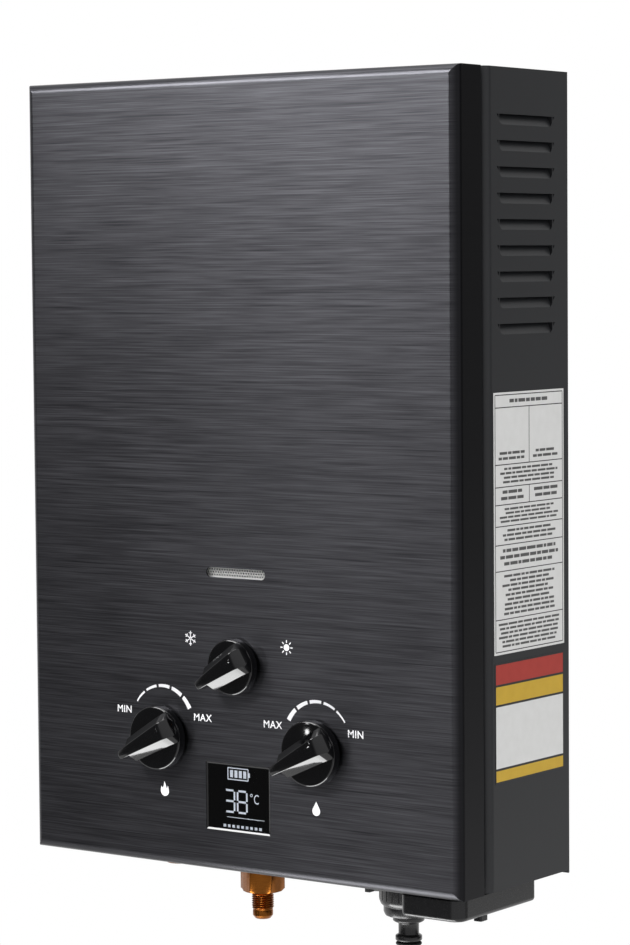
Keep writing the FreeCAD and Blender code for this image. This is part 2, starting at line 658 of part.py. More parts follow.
def make_gas_valve():
    body = valve_block("gas_valve_block", (-76, -16), (56, 98), -46, "Dims.gas_x", "Dims.knob_z")
    rod_bore = new_sketch(body, "YZ_Plane", -16)
    circle(rod_bore, ROD_Y, "Dims.rod_z", "Dims.rod_radius + Dims.running_gap")
    pocket(body, rod_bore, 16)
    piece(body, "gas_valve_body")
    piece(turned("gas_solenoid_body", [(0, 0), (9, 0), (9, 20), (7.5, 21.5), (7.5, 26), (0, 26)],
                 (-62, -64, 98)), "gas_solenoid")
    selector = valve_block("selector_block", (-15, 16), (101, 130), -54, "Dims.season_x", "Dims.season_z")
    piece(selector, "selector_valve_body")


def make_water_valve():
    """Block with the inlet, flow plug bore and the wet half of the diaphragm housing."""
    body = valve_block("water_valve_block", (40, 99), (50, 96), -40, "Dims.water_x", "Dims.knob_z")
    half = new_sketch(body, "YZ_Plane", "Dims.diaphragm_x + 1.5")
    circle(half, ROD_Y, "Dims.rod_z", "Dims.housing_radius")
    extrude(body, half, "41 - Dims.diaphragm_x - 1.5")
    chamber = new_sketch(body, "YZ_Plane", "Dims.diaphragm_x + 1.5")
    circle(chamber, ROD_Y, "Dims.rod_z", 17)
    pocket(body, chamber, 6, reverse=True)
    piece(body, "water_valve_body")

    cover = new_body("valve_cover_body")
    disc = new_sketch(cover, "YZ_Plane", 16)
    circle(disc, ROD_Y, "Dims.rod_z", "Dims.housing_radius")
    extrude(cover, disc, "Dims.diaphragm_x - 16")
    chamber = new_sketch(cover, "YZ_Plane", "Dims.diaphragm_x")
    circle(chamber, ROD_Y, "Dims.rod_z", 17)
    pocket(cover, chamber, "Dims.diaphragm_x - 20")
    bore = new_sketch(cover, "YZ_Plane", 16)
    circle(bore, ROD_Y, "Dims.rod_z", "Dims.rod_radius + Dims.running_gap")
    pocket(cover, bore, 30, both=True)
    screw_holes = new_sketch(cover, "YZ_Plane", 16)
    angles = [math.radians(60 * i + 30) for i in range(6)]
    ring = [(21 * math.cos(angle), 21 * math.sin(angle)) for angle in angles]
    for y, z in ring:
        circle(screw_holes, f"{ROD_Y} + {y}", f"Dims.rod_z + {z}", 1.5)
    pocket(cover, screw_holes, 8, reverse=True)
    piece(cover, "water_valve_cover")

    piece(turned("diaphragm_body", [
        (0, 0), (14, 0), (15.5, 1), (17, 0), (24, 0), (24, 1.5), (17, 1.5), (15.5, 2.5), (14, 1.5), (0, 1.5)],
        ("Dims.diaphragm_x", ROD_Y, "Dims.rod_z"), X_AXIS), "diaphragm")
    screws = [turned(f"valve_screw_{i}", [(0, -2.4), (2.6, -2.4), (2.6, 0), (1.5, 0), (1.5, 8), (0, 8)],
                     (16, f"{ROD_Y} + {y}", f"Dims.rod_z + {z}"), X_AXIS) for i, (y, z) in enumerate(ring)]
    piece(group("valve_screws_group", screws), "valve_screws")


def make_linkage():
    """Push rod with its plate and collar, microswitch with button and lever, and their bracket."""
    foot = "Dims.diaphragm_x - 0.3"
    profile = [(0, 0), (14, 0), (14, -1.8), ("Dims.rod_radius", -1.8), ("Dims.rod_radius", -24.2),
               ("Dims.collar_radius", -24.2), ("Dims.collar_radius", -26.2), ("Dims.rod_radius", -26.2),
               ("Dims.rod_radius", -56), (0, -56)]
    piece(turned("linkage_rod_body", profile, (foot, ROD_Y, "Dims.rod_z"), X_AXIS), "linkage_rod")

    lever_y = (f"{ROD_Y} - 4", f"{ROD_Y} + 4")
    arm = block("lever_arm", ("Dims.lever_x - 0.4", lever_y[0], "Dims.rod_z + 4.4"),
                ("Dims.lever_x + 0.4", lever_y[1], "Dims.lever_z"))
    hub = rod("lever_hub", ("Dims.lever_x", lever_y[0], "Dims.lever_z"), Y_AXIS, 2, 8)
    hole = rod("lever_hole", ("Dims.lever_x", lever_y[0], "Dims.lever_z"), Y_AXIS, "1 + Dims.running_gap", 8)
    piece(cut("switch_lever_cut", fuse("lever_solid", [arm, hub]), hole), "switch_lever")

    button_z = "Dims.lever_z - 8"
    case = block("switch_case", (-15, f"{ROD_Y} - 6", "Dims.rod_z + 6"),
                 (-5, f"{ROD_Y} + 6", "Dims.rod_z + 17"))
    bore = rod("switch_bore", (-8.3, ROD_Y, button_z), X_AXIS, "1.5 + Dims.running_gap", 4)
    piece(cut("microswitch_cut", case, bore), "microswitch")
    piece(rod("switch_button_rod", (-5.6, ROD_Y, button_z), X_AXIS, 1.5, 5.8), "switch_button")

    ears = [block(f"bracket_ear_{i}", (-16, f"{ROD_Y} + {y}", "Dims.rod_z + 5"),
                  (4, f"{ROD_Y} + {y} + 1", "Dims.lever_z + 3")) for i, y in enumerate((-7, 6))]
    base = block("bracket_base", (-16, f"{ROD_Y} - 7", "Dims.rod_z + 5"),
                 (-15, f"{ROD_Y} + 7", "Dims.lever_z + 3"))
    pin = rod("bracket_pin", ("Dims.lever_x", f"{ROD_Y} - 7", "Dims.lever_z"), Y_AXIS, 1, 14)
    piece(fuse("switch_bracket_solid", ears + [base, pin]), "switch_bracket")


def make_gas_inlet():
    """Brass flare fitting: shank through the floor, hexagon, thread and nose."""
    body = new_body("gas_inlet_body")
    profile = new_sketch(body, "XZ_Plane")
    polygon(profile, [(3, "-Dims.gas_drop"), (4.4, "-Dims.gas_drop"), (5.8, -34.6), (5.8, -31.6),
                      ("Dims.gas_thread", -31), ("Dims.gas_thread", -22), (5.6, -21.4), (5.6, -21),
                      (10, -20), (10, -3), (8.5, -3), (8.5, 14), (3, 14)])
    turn(body, profile)
    hexa = new_sketch(body, "XY_Plane", -6.5)
    hexagon(hexa, "Dims.gas_hex")
    hole = hexa.addGeometry(Part.Circle(Vector(), Z_AXIS, 5), False)
    hexa.addConstraint(Sketcher.Constraint("Radius", hole, 5))
    extrude(body, hexa, 14, reverse=True)
    at(body, "Dims.gas_inlet_x", FITTING_Y, 0)
    return piece(body, "gas_inlet")


def make_water_inlet():
    """Stub, union nut and click-on hose spigot below the water valve."""
    place = ("Dims.water_inlet_x", FITTING_Y, 0)
    stub = turned("inlet_stub_body", [(5, -23.5), (8, -23.5), (8, 50), (5, 50)], place)
    piece(stub, "water_inlet_stub")
    piece(turned("union_body", [
        (8, -23.5), ("Dims.union_step - 3", -23.5), ("Dims.union_step - 0.9", -22.6),
        ("Dims.union_step", -20.4), ("Dims.union_step", -17.5),
        ("Dims.union_radius - 1", -16), ("Dims.union_radius", -14),
        ("Dims.union_radius", -2.2), ("Dims.union_radius - 1.2", -1), (8, -1)], place), "union_nut")
    nose = "Dims.spigot_nose"
    piece(turned("spigot_body", [
        (4.5, "-Dims.spigot_drop"), (f"{nose} - 1.2", "-Dims.spigot_drop"), (nose, "1.2 - Dims.spigot_drop"),
        (nose, -44), (f"{nose} + 1", -43.2), (f"{nose} + 1", -40.8), (f"{nose} - 0.5", -40),
        (f"{nose} - 0.5", -37.6),
        (f"{nose} + 1", -36.8), (f"{nose} + 1", -34.4), (f"{nose} - 0.6", -33.4), (f"{nose} - 0.6", -27.6),
        (8, -26.4), (8.8, -25.6), (8.8, -23.5), (4.5, -23.5)], place), "hose_spigot")


def make_hot_outlet():
    body = new_body("hot_outlet_body")
    profile = new_sketch(body, "XZ_Plane")
    polygon(profile, [(7, "-Dims.hot_drop"), ("Dims.hot_thread - 0.8", "-Dims.hot_drop"),
                      ("Dims.hot_thread", "0.8 - Dims.hot_drop"), ("Dims.hot_thread", -1), (9.6, -0.4),
                      (9.6, "Dims.sheet"), (11.5, "Dims.sheet"), (11.5, 10), (8, 11), (8, 30), (4, 30),
                      (4, 11), (7, 9)])
    turn(body, profile)
    hexa = new_sketch(body, "XY_Plane", "Dims.sheet")
    hexagon(hexa, 27)
    hexa.addGeometry(Part.Circle(Vector(), Z_AXIS, 9), False)
    extrude(body, hexa, 9)
    at(body, "Dims.hot_x", "-Dims.hot_back", 0)
    return piece(body, "hot_outlet")


def make_drain():
    """Relief and drain valve: stem through the floor and a quarter-turn cock below it."""
    place = ("Dims.drain_x", "-Dims.drain_back", 0)
    piece(turned("drain_body", [(0, -3), (5.5, -3), (5.5, 50), (0, 50)], place), "drain_valve_body")
    cap = turned("drain_cap", [(0, "-Dims.drain_drop"), (6, "-Dims.drain_drop"), (7, "1 - Dims.drain_drop"),
                               (7, -4), (6.4, -3.3), (0, -3.3)], place)
    wings = block("drain_wings", ("Dims.drain_x - 1.6", "-Dims.drain_back - 10.5", "-Dims.drain_drop"),
                  ("Dims.drain_x + 1.6", "10.5 - Dims.drain_back", -6))
    piece(fuse("drain_cock_solid", [cap, wings]), "drain_cock")


def path_wire(points, radius):
    """Straight runs joined by tangent arcs of one radius."""
    spots = [Vector(*[value(c) for c in p]) for p in points]
    edges = []
    start = spots[0]
    for before, corner, after in zip(spots, spots[1:], spots[2:]):
        back = (before - corner).normalize()
        ahead = (after - corner).normalize()
        half = back.getAngle(ahead) / 2
        reach = radius / math.tan(half)
        enter, leave = corner + back * reach, corner + ahead * reach
        middle = corner + (back + ahead).normalize() * (radius / math.sin(half) - radius)
        if (enter - start).Length > 1e-6:
            edges.append(Part.LineSegment(start, enter).toShape())
        edges.append(Part.Arc(enter, middle, leave).toShape())
        start = leave
    edges.append(Part.LineSegment(start, spots[-1]).toShape())
    return Part.Wire(edges)


def pipe(label, points, radius, bend):
    """A round pipe along straight runs and bends."""
    path = path_wire(points, bend)
    first = path.Edges[0]
    heading = first.tangentAt(first.FirstParameter)
    section = Part.Wire(Part.Circle(first.valueAt(first.FirstParameter), heading, radius).toShape())
    solid = path.makePipeShell([section], True, False)
    expected = math.pi * radius ** 2 * path.Length
    if abs(solid.Volume - expected) > 0.01 * expected:
        raise RuntimeError(f"{label}: the pipe's volume is off")
    item = doc.addObject("Part::Feature", f"{label}_shape")
    item.Shape = solid
    return item


def make_water_pipes():
    """Riser and coil round the fire box, and the hot pipe down to the outlet."""
    radius, bend = value("Dims.tube_radius"), value("Dims.coil_bend")
    side, front, rear, z = "Dims.coil_half", "-Dims.coil_front", "-Dims.coil_rear", "Dims.coil_z"
    row_y = "-Dims.row_back - 2 * Dims.row_pitch"
    coil = pipe("coil", [
        (side, FITTING_Y, 96), (side, FITTING_Y, z), (side, rear, z), (f"-{side}", rear, z),
        (f"-{side}", front, z), ("Dims.riser_x", front, z), ("Dims.riser_x", front, "Dims.row_z"),
        ("Dims.riser_x", row_y, "Dims.row_z"), ("Dims.box_half", row_y, "Dims.row_z")], radius, bend)
    piece(coil, "exchanger_coil")
    hot_y = "-Dims.row_back"
    hot = pipe("hot", [("-Dims.box_half", hot_y, "Dims.row_z"), ("Dims.hot_x", hot_y, "Dims.row_z"),
                       ("Dims.hot_x", hot_y, 30)], radius, bend)
    piece(hot, "hot_pipe")


def make_exchanger():
    """Fire box jacket, fin block and the return bends of its tube rows."""
    low = ("-Dims.box_half", "-Dims.box_front", "Dims.fire_low")
    high = ("Dims.box_half", "-Dims.box_rear", "Dims.fire_high")
    hollow = block("fire_hollow", tuple(f"{c} + Dims.sheet" for c in low[:2]) + ("Dims.fire_low",),
                   tuple(f"{c} - Dims.sheet" for c in high[:2]) + ("Dims.fire_high",))
    piece(cut("fire_box_cut", block("fire_block", low, high), hollow), "fire_box")

    body = new_body("fin_block_body")
    outline = new_sketch(body, "XY_Plane", "Dims.fire_high")
    rectangle(outline, "-Dims.box_half", "Dims.box_half", "-Dims.box_front", "-Dims.box_rear")
    extrude(body, outline, "Dims.fin_high - Dims.fire_high")
    gap = new_sketch(body, "XY_Plane", "Dims.fire_high")
    first = "-Dims.fin_pitch * (Dims.fin_count - 1) / 2"
    rectangle(gap, f"{first} - 2.4", f"{first} + 2.4", "3 - Dims.box_front", "-Dims.box_rear - 3")
    slots = pocket(body, gap, 100, both=True)
    repeat(body, [slots], "X_Axis", "Dims.fin_pitch", "Dims.fin_count")
    piece(body, "fin_block")

    bends = []
    for name, side, row in (("left", -1, 1), ("right", 1, 0)):
        ring = doc.addObject("Part::Torus", f"return_bend_{name}")
        ring.setExpression("Radius1", "Dims.row_pitch / 2")
        ring.setExpression("Radius2", "Dims.tube_radius")
        ring.Angle3 = 180
        ring.Placement = Placement(Vector(), Rotation(Z_AXIS, 90 if side < 0 else -90))
        bends.append(at(ring, f"{side} * Dims.box_half", f"-Dims.row_back - Dims.row_pitch * ({row} + 0.5)",
                        "Dims.row_z"))
    piece(group("bends_group", bends), "return_bends")


def make_flue_hood():
    """Hollow hood that narrows from the fin block to the top's exhaust slots."""
    body = new_body("flue_hood_body")
    top = f"{TOP} - Dims.sheet"
    for kind, wall in (("Additive", "0"), ("Subtractive", "Dims.sheet")):
        low = new_sketch(body, "XY_Plane", "Dims.fin_high")
        rectangle(low, f"{wall} - Dims.box_half", f"Dims.box_half - {wall}",
                  f"{wall} - Dims.box_front", f"-Dims.box_rear - {wall}")
        high = new_sketch(body, "XY_Plane", top)
        rectangle(high, f"{wall} - Dims.hood_half", f"Dims.hood_half - {wall}",
                  f"{wall} - Dims.hood_front", f"-Dims.hood_rear - {wall}")
        loft = body.newObject(f"PartDesign::{kind}Loft", f"hood_{kind.lower()}")
        loft.Profile = low
        loft.Sections = [high]
        loft.Ruled = True
        doc.recompute()
    return piece(body, "flue_hood")


def make_burner():
    """Burner bars in their tray, gas manifold, injectors and electrodes."""
    bars = []
    first = "-Dims.burner_pitch * (Dims.burner_count - 1) / 2"
    for i in range(int(value("Dims.burner_count"))):
        body = new_body(f"burner_bar_{i}")
        section = new_sketch(body, "XZ_Plane", 18)
        polygon(section, [(-4, "Dims.burner_low"), (4, "Dims.burner_low"), (5.5, "Dims.burner_low + 3"),
                          (5.5, "Dims.burner_low + 12"), (3.2, "Dims.burner_low + 17"),
                          (3.2, "Dims.burner_high"), (-3.2, "Dims.burner_high"),
                          (-3.2, "Dims.burner_low + 17"), (-5.5, "Dims.burner_low + 12"),
                          (-5.5, "Dims.burner_low + 3")])
        extrude(body, section, 58)
        throat = new_sketch(body, "XZ_Plane", 76)
        circle(throat, 0, "Dims.burner_low + 6.5", 3.6)
        pocket(body, throat, 20)
        at(body, f"{first} + {i} * Dims.burner_pitch", 0, 0)
        bars.append(body)
    piece(group("burner_bars_group", bars), "burner_bars")

    half = "80"
    outer = block("tray_block", (f"-{half}", -78, "Dims.burner_low - 2"), (half, -16, "Dims.burner_low + 22"))
    inner = block("tray_hollow", (f"0.8 - {half}", -77.2, "Dims.burner_low"), (f"{half} - 0.8", -16.8, 200))
    throats = [rod(f"tray_throat_{i}", (f"{first} + {i} * Dims.burner_pitch", -79, "Dims.burner_low + 6.5"),
                   Y_AXIS, 3.6, 3) for i in range(int(value("Dims.burner_count")))]
    floor_slot = block("tray_floor_slot", (-70, -70, "Dims.burner_low - 3"),
                       (70, -24, "Dims.burner_low - 0.5"))
    sole = block("tray_sole", (-70, -70, "Dims.burner_low - 1"), (70, -24, "Dims.burner_low"))
    hollow = fuse("tray_cutters", [inner, floor_slot] + throats)
    piece(fuse("burner_tray_solid", [cut("burner_tray_cut", outer, hollow), sole]), "burner_tray")

    bar = block("manifold_block", (-78, -92, "Dims.burner_low"), (78, -84, "Dims.burner_low + 13"))
    feed = rod("manifold_feed", ("Dims.season_x", -86, 130), Z_AXIS, 2, "Dims.burner_low - 130")
    piece(fuse("manifold_solid", [bar, feed]), "gas_manifold")
    injectors = [turned(f"injector_{i}", [(0, 0), (3, 0), (3, 2.4), (1.4, 5.4), (0, 5.4)],
                        (f"{first} + {i} * Dims.burner_pitch", -84, "Dims.burner_low + 6.5"), Y_AXIS)
                 for i in range(int(value("Dims.burner_count")))]
    piece(group("injectors_group", injectors), "gas_injectors")
    feed = pipe("gas_feed", [(-40, -64, 98), (-40, -64, 115.5), (-15, -64, 115.5)], 4, 8)
    inlet = rod("gas_riser", ("Dims.gas_inlet_x", FITTING_Y, 14), Z_AXIS, "Dims.tube_radius", 42)
    piece(group("gas_pipes_group", [feed, inlet]), "gas_pipes")

    sparks = []
    for x in (40, 52, 64):
        insulator = rod(f"insulator_{x}", (x, -98, 168), Y_AXIS, 2.6, 20)
        wire = rod(f"electrode_wire_{x}", (x, -78, 168), Y_AXIS, 0.9, 16)
        sparks.append(fuse(f"electrode_{x}", [insulator, wire]))
    plate = block("electrode_plate", (34, -80, 156), (70, -78.8, 176))
    holes = fuse("electrode_holes", [rod(f"plate_hole_{x}", (x, -81, 168), Y_AXIS, 2.6, 3)
                                     for x in (40, 52, 64)])
    piece(cut("electrode_bracket_cut", plate, holes), "electrode_bracket")
    piece(group("electrodes_group", sparks), "electrodes")


def make_brackets():
    """Sheet brackets that carry the fire box, the burner tray and the valves on the back plate."""
    spans = [((-70, "-Dims.box_rear", 250), (-40, WALL_INSIDE, 284)),
             ((40, "-Dims.box_rear", 250), (70, WALL_INSIDE, 284)),
             ((-70, -16, 136), (-40, WALL_INSIDE, 152)),
             ((40, -16, 136), (70, WALL_INSIDE, 152)),
             ((-60, -46, 76), (-30, WALL_INSIDE, 78)),
             ((60, -40, 76), (90, WALL_INSIDE, 78)),
             ((-6, -54, 114), (10, WALL_INSIDE, 116))]
    brackets = [block(f"bracket_{i}", low, high) for i, (low, high) in enumerate(spans)]
    return piece(group("brackets_group", brackets), "inner_brackets")


def make_controls():
    """Ignition control box, over-heat cut-out and water temperature sensor."""
    body = new_body("control_box_body")
    outline = new_sketch(body, "YZ_Plane", f"0.1 + Dims.sheet - {HALF}")
    rounded(outline, [(-76, 40, 4), (-22, 40, 4), (-22, 140, 4), (-76, 140, 4)])
    extrude(body, outline, 27)
    ribs = new_sketch(body, "YZ_Plane", f"27.1 + Dims.sheet - {HALF}")
    rectangle(ribs, -70, -28, 50, 53)
    rib = extrude(body, ribs, 1.2)
    doc.recompute()
    repeat(body, [rib], "Z_Axis", 9, 10)
    piece(body, "control_box")
    piece(turned("cutout_body", [(0, 0), (8, 0), (8, 3), (6, 4), (6, 9), (0, 9)],
                 ("-Dims.box_half", -46, 268), Vector(-1, 0, 0)), "overheat_cutout")
    clip = rod("sensor_clip", ("Dims.hot_x", "-Dims.row_back", 80), Z_AXIS, 7, 10)
    bore = rod("sensor_bore", ("Dims.hot_x", "-Dims.row_back", 80), Z_AXIS, "Dims.tube_radius", 10)
    piece(cut("water_sensor_cut", clip, bore), "water_sensor")


def make_battery_box():
    """Tray with two upright cells, contacts, and a hinged lid with its catch."""
    x0, x1 = "Dims.tray_x - Dims.tray_width / 2", "Dims.tray_x + Dims.tray_width / 2"
    wall = "Dims.tray_wall"
    shell = block("tray_shell", (x0, "-Dims.tray_front", 0.2), (x1, "-Dims.tray_rear", "Dims.tray_tall + 1"))
    room = block("tray_room", (f"{x0} + {wall}", f"{wall} - Dims.tray_front", 0),
                 (f"{x1} - {wall}", f"-Dims.tray_rear - {wall}", "Dims.tray_tall - 0.4"))
    lugs, holes = [], []
    pin_y, pin_z = "-Dims.lid_pin_back", "Dims.lid_pin_z"
    for i, x in enumerate(("Dims.tray_x - 15", "Dims.tray_x + 12")):
        lugs.append(block(f"tray_lug_{i}", (x, f"{pin_y} - 2.5", pin_z), (f"{x} + 4", f"{pin_y} + 2.5", 2)))
        lugs.append(rod(f"tray_eye_{i}", (x, pin_y, pin_z), X_AXIS, 2.5, 4))
        holes.append(rod(f"tray_eye_hole_{i}", (x, pin_y, pin_z), X_AXIS, "1.5 + Dims.running_gap", 4))
    solid = fuse("tray_with_lugs", [cut("tray_cut", shell, room)] + lugs)
    piece(cut("battery_tray_cut", solid, fuse("tray_holes", holes)), "battery_tray")

    cells = []
    body_end, nub = "Dims.cell_body", "Dims.cell_body + Dims.cell_nub"
    profile = [(0, 0), ("Dims.cell_radius - 1", 0), ("Dims.cell_radius", 1),
               ("Dims.cell_radius", f"{body_end} - 1"), ("Dims.cell_radius - 1", body_end),
               (4.75, body_end), (4.75, nub), (0, nub)]
    for name, side, foot, way in (("up", "-16.7", "3.5", Z_AXIS), ("down", "+16.7", f"3.5 + {nub}", -Z_AXIS)):
        cells.append(turned(f"cell_{name}", profile,
                            ("Dims.tray_x", f"-(Dims.tray_front + Dims.tray_rear) / 2 {side}", foot), way))
    piece(group("cells_group", cells), "battery_cells")
    contacts = [block(f"contact_{i}", ("Dims.tray_x - 8", f"{y} - 6", f"3.5 + {nub}"),
                      ("Dims.tray_x + 8", f"{y} + 6", "Dims.tray_tall - 0.4"))
                for i, y in enumerate((-79.7, -46.3))]
    piece(group("contacts_group", contacts), "battery_contacts")

    body = new_body("battery_lid_body")
    outline = new_sketch(body, "XY_Plane", "-Dims.lid_drop")
    half = "Dims.lid_width / 2"
    rounded(outline, [(f"Dims.lid_x - {half}", "-Dims.lid_front", 4),
                      (f"Dims.lid_x + {half}", "-Dims.lid_front", 7.5),
                      (f"Dims.lid_x + {half}", "-Dims.tray_rear", 3),
                      (f"Dims.lid_x - {half}", "-Dims.tray_rear", 3)])
    extrude(body, outline, "Dims.lid_drop - Dims.lid_rim")
    floor = -value("Dims.lid_drop")
    soften(body, 2.2, lambda a, b: near(a.z, floor) and near(b.z, floor))
    hollow = new_sketch(body, "XY_Plane", "-Dims.lid_rim")
    inner = f"({half} - Dims.lid_wall)"
    rounded(hollow, [(f"Dims.lid_x - {inner}", "Dims.lid_wall - Dims.lid_front", 2),
                     (f"Dims.lid_x + {inner}", "Dims.lid_wall - Dims.lid_front", 5.5),
                     (f"Dims.lid_x + {inner}", "-Dims.tray_rear - Dims.lid_wall", 1),
                     (f"Dims.lid_x - {inner}", "-Dims.tray_rear - Dims.lid_wall", 1)])
    pocket(body, hollow, "Dims.lid_drop - Dims.lid_rim - Dims.lid_wall")
    notches = new_sketch(body, "XZ_Plane", "Dims.tray_rear - 1")
    for x in ("Dims.tray_x - 15.9", "Dims.tray_x + 11"):
        rectangle(notches, x, f"{x} + 6", -8.5, 1)
    pocket(body, notches, "Dims.lid_wall + 2", reverse=True)
    shelf = new_sketch(body, "XY_Plane", "1 - Dims.lid_drop")
    rectangle(shelf, "Dims.tray_x - 7", "Dims.tray_x + 7", -88, -40)
    extrude(body, shelf, "1 + Dims.lid_drop")
    pin = new_sketch(body, "YZ_Plane", "Dims.lid_x")
    circle(pin, pin_y, pin_z, 1.5)
    extrude(body, pin, "Dims.lid_width - 2 * Dims.lid_wall + 1", both=True)
    nub = new_sketch(body, "XY_Plane", "0.5 - Dims.lid_drop")
    rounded(nub, [("Dims.lid_x + 12", -80, 1), ("Dims.lid_x + 17", -80, 1),
                  ("Dims.lid_x + 17", -73, 1), ("Dims.lid_x + 12", -73, 1)])
    extrude(body, nub, 3.7, reverse=True)
    piece(body, "battery_lid")
    strip = block("lid_contact_plate", ("Dims.tray_x - 6", -86, 2), ("Dims.tray_x + 6", -42, 2.6))
    piece(strip, "lid_contact")


make_front_cover()
make_side_panel("side_panel_right", 1)
make_side_panel("side_panel_left", -1)
make_top_panel()
make_bottom_panel()
make_back_panel()
make_cover_screws()
make_sight_plate()
make_display()
for knob, x, z, radius, reach, angle in (
        ("gas", "Dims.gas_x", "Dims.knob_z", "Dims.knob_radius", "Dims.knob_reach", "Dims.knob_angle"),
        ("water", "Dims.water_x", "Dims.knob_z", "Dims.knob_radius", "Dims.knob_reach", "Dims.knob_angle"),
        ("season", "Dims.season_x", "Dims.season_z", "Dims.season_radius", "Dims.season_reach",
         "Dims.season_angle")):
    make_knob(f"{knob}_knob", x, z, radius, reach, angle)
    make_spindle(f"{knob}_spindle", x, z, angle)
make_bonnets()
make_gas_valve()
make_water_valve()
make_linkage()
make_gas_inlet()
make_water_inlet()
make_hot_outlet()
make_drain()
make_water_pipes()
make_exchanger()
make_flue_hood()
make_burner()
make_brackets()
make_controls()
make_battery_box()

doc.recompute()
for item in doc.Objects:
    if {"Invalid", "Error"} & set(item.State):
        raise RuntimeError(f"{item.Name} ({item.Label}) failed: {item.State}")

os.makedirs("parts", exist_ok=True)
for item in pieces:
    if item.Shape.isNull() or not item.Shape.isValid():
        raise RuntimeError(f"{item.Label}: its shape is null or not valid")
    item.Shape.exportStep(f"parts/{item.Label}.step")
print(len(pieces), "pieces written")
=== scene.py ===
import logging
import math
import random
from dataclasses import dataclass, field
from enum import Enum

import bmesh
import bpy
from mathutils import Matrix, Vector


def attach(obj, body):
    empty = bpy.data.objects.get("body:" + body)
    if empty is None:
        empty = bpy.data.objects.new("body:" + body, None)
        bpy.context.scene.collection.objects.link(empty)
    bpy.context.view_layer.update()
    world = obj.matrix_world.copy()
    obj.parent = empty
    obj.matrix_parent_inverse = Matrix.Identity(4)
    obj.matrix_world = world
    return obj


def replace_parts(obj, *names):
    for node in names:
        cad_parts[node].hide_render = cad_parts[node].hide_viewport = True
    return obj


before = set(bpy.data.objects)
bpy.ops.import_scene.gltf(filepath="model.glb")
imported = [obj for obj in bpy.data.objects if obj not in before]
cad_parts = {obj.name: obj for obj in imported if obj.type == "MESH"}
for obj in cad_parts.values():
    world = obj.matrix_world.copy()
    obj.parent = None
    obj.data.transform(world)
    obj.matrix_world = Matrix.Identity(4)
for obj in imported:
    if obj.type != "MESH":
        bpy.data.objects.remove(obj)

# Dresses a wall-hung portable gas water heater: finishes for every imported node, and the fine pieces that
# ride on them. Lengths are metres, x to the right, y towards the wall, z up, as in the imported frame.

LOG = logging.getLogger("heater")
MM = 0.001
PHOTO_HEIGHT = 945  # pixels

Point = tuple[float, float]
Place = tuple[float, float, float]
Outline = list[Point]
Tree = bpy.types.NodeTree
Node = bpy.types.Node
Socket = bpy.types.NodeSocket
Build = bmesh.types.BMesh
Ring = list[bmesh.types.BMVert]

UP = Vector((0.0, 0.0, 1.0))
UPRIGHT = Matrix.Identity(3)


class Side(Enum):
    """Which way a flat mark faces."""

    FRONT = "front"
    RIGHT = "right"


def linear(code: str) -> tuple[float, float, float, float]:
    """Turns an sRGB hex colour into the linear colour that a shader takes.

    Args:
        code: Six hex digits, such as "1a1b1c".

    Returns:
        Red, green, blue and alpha in linear light.
    """
    parts = [int(code[i:i + 2], 16) / 255 for i in (0, 2, 4)]
    light = [c / 12.92 if c <= 0.04045 else ((c + 0.055) / 1.055) ** 2.4 for c in parts]
    return light[0], light[1], light[2], 1.0


def add_node(tree: Tree, kind: str, settings: dict | None = None, values: dict | None = None,
             links: dict | None = None) -> Node:
    """Adds a shader node with its settings, its socket values and its incoming links.

    Args:
        tree: The node tree.
        kind: The node's type name.
        settings: Properties of the node.
        values: Input values by socket name or number.
        links: Output sockets to join, by input name or number.

    Returns:
        The new node.
    """
    made = tree.nodes.new(kind)
    for name, setting in (settings or {}).items():
        setattr(made, name, setting)
    for name, number in (values or {}).items():
        made.inputs[name].default_value = number
    for name, socket in (links or {}).items():
        tree.links.new(socket, made.inputs[name])
    return made


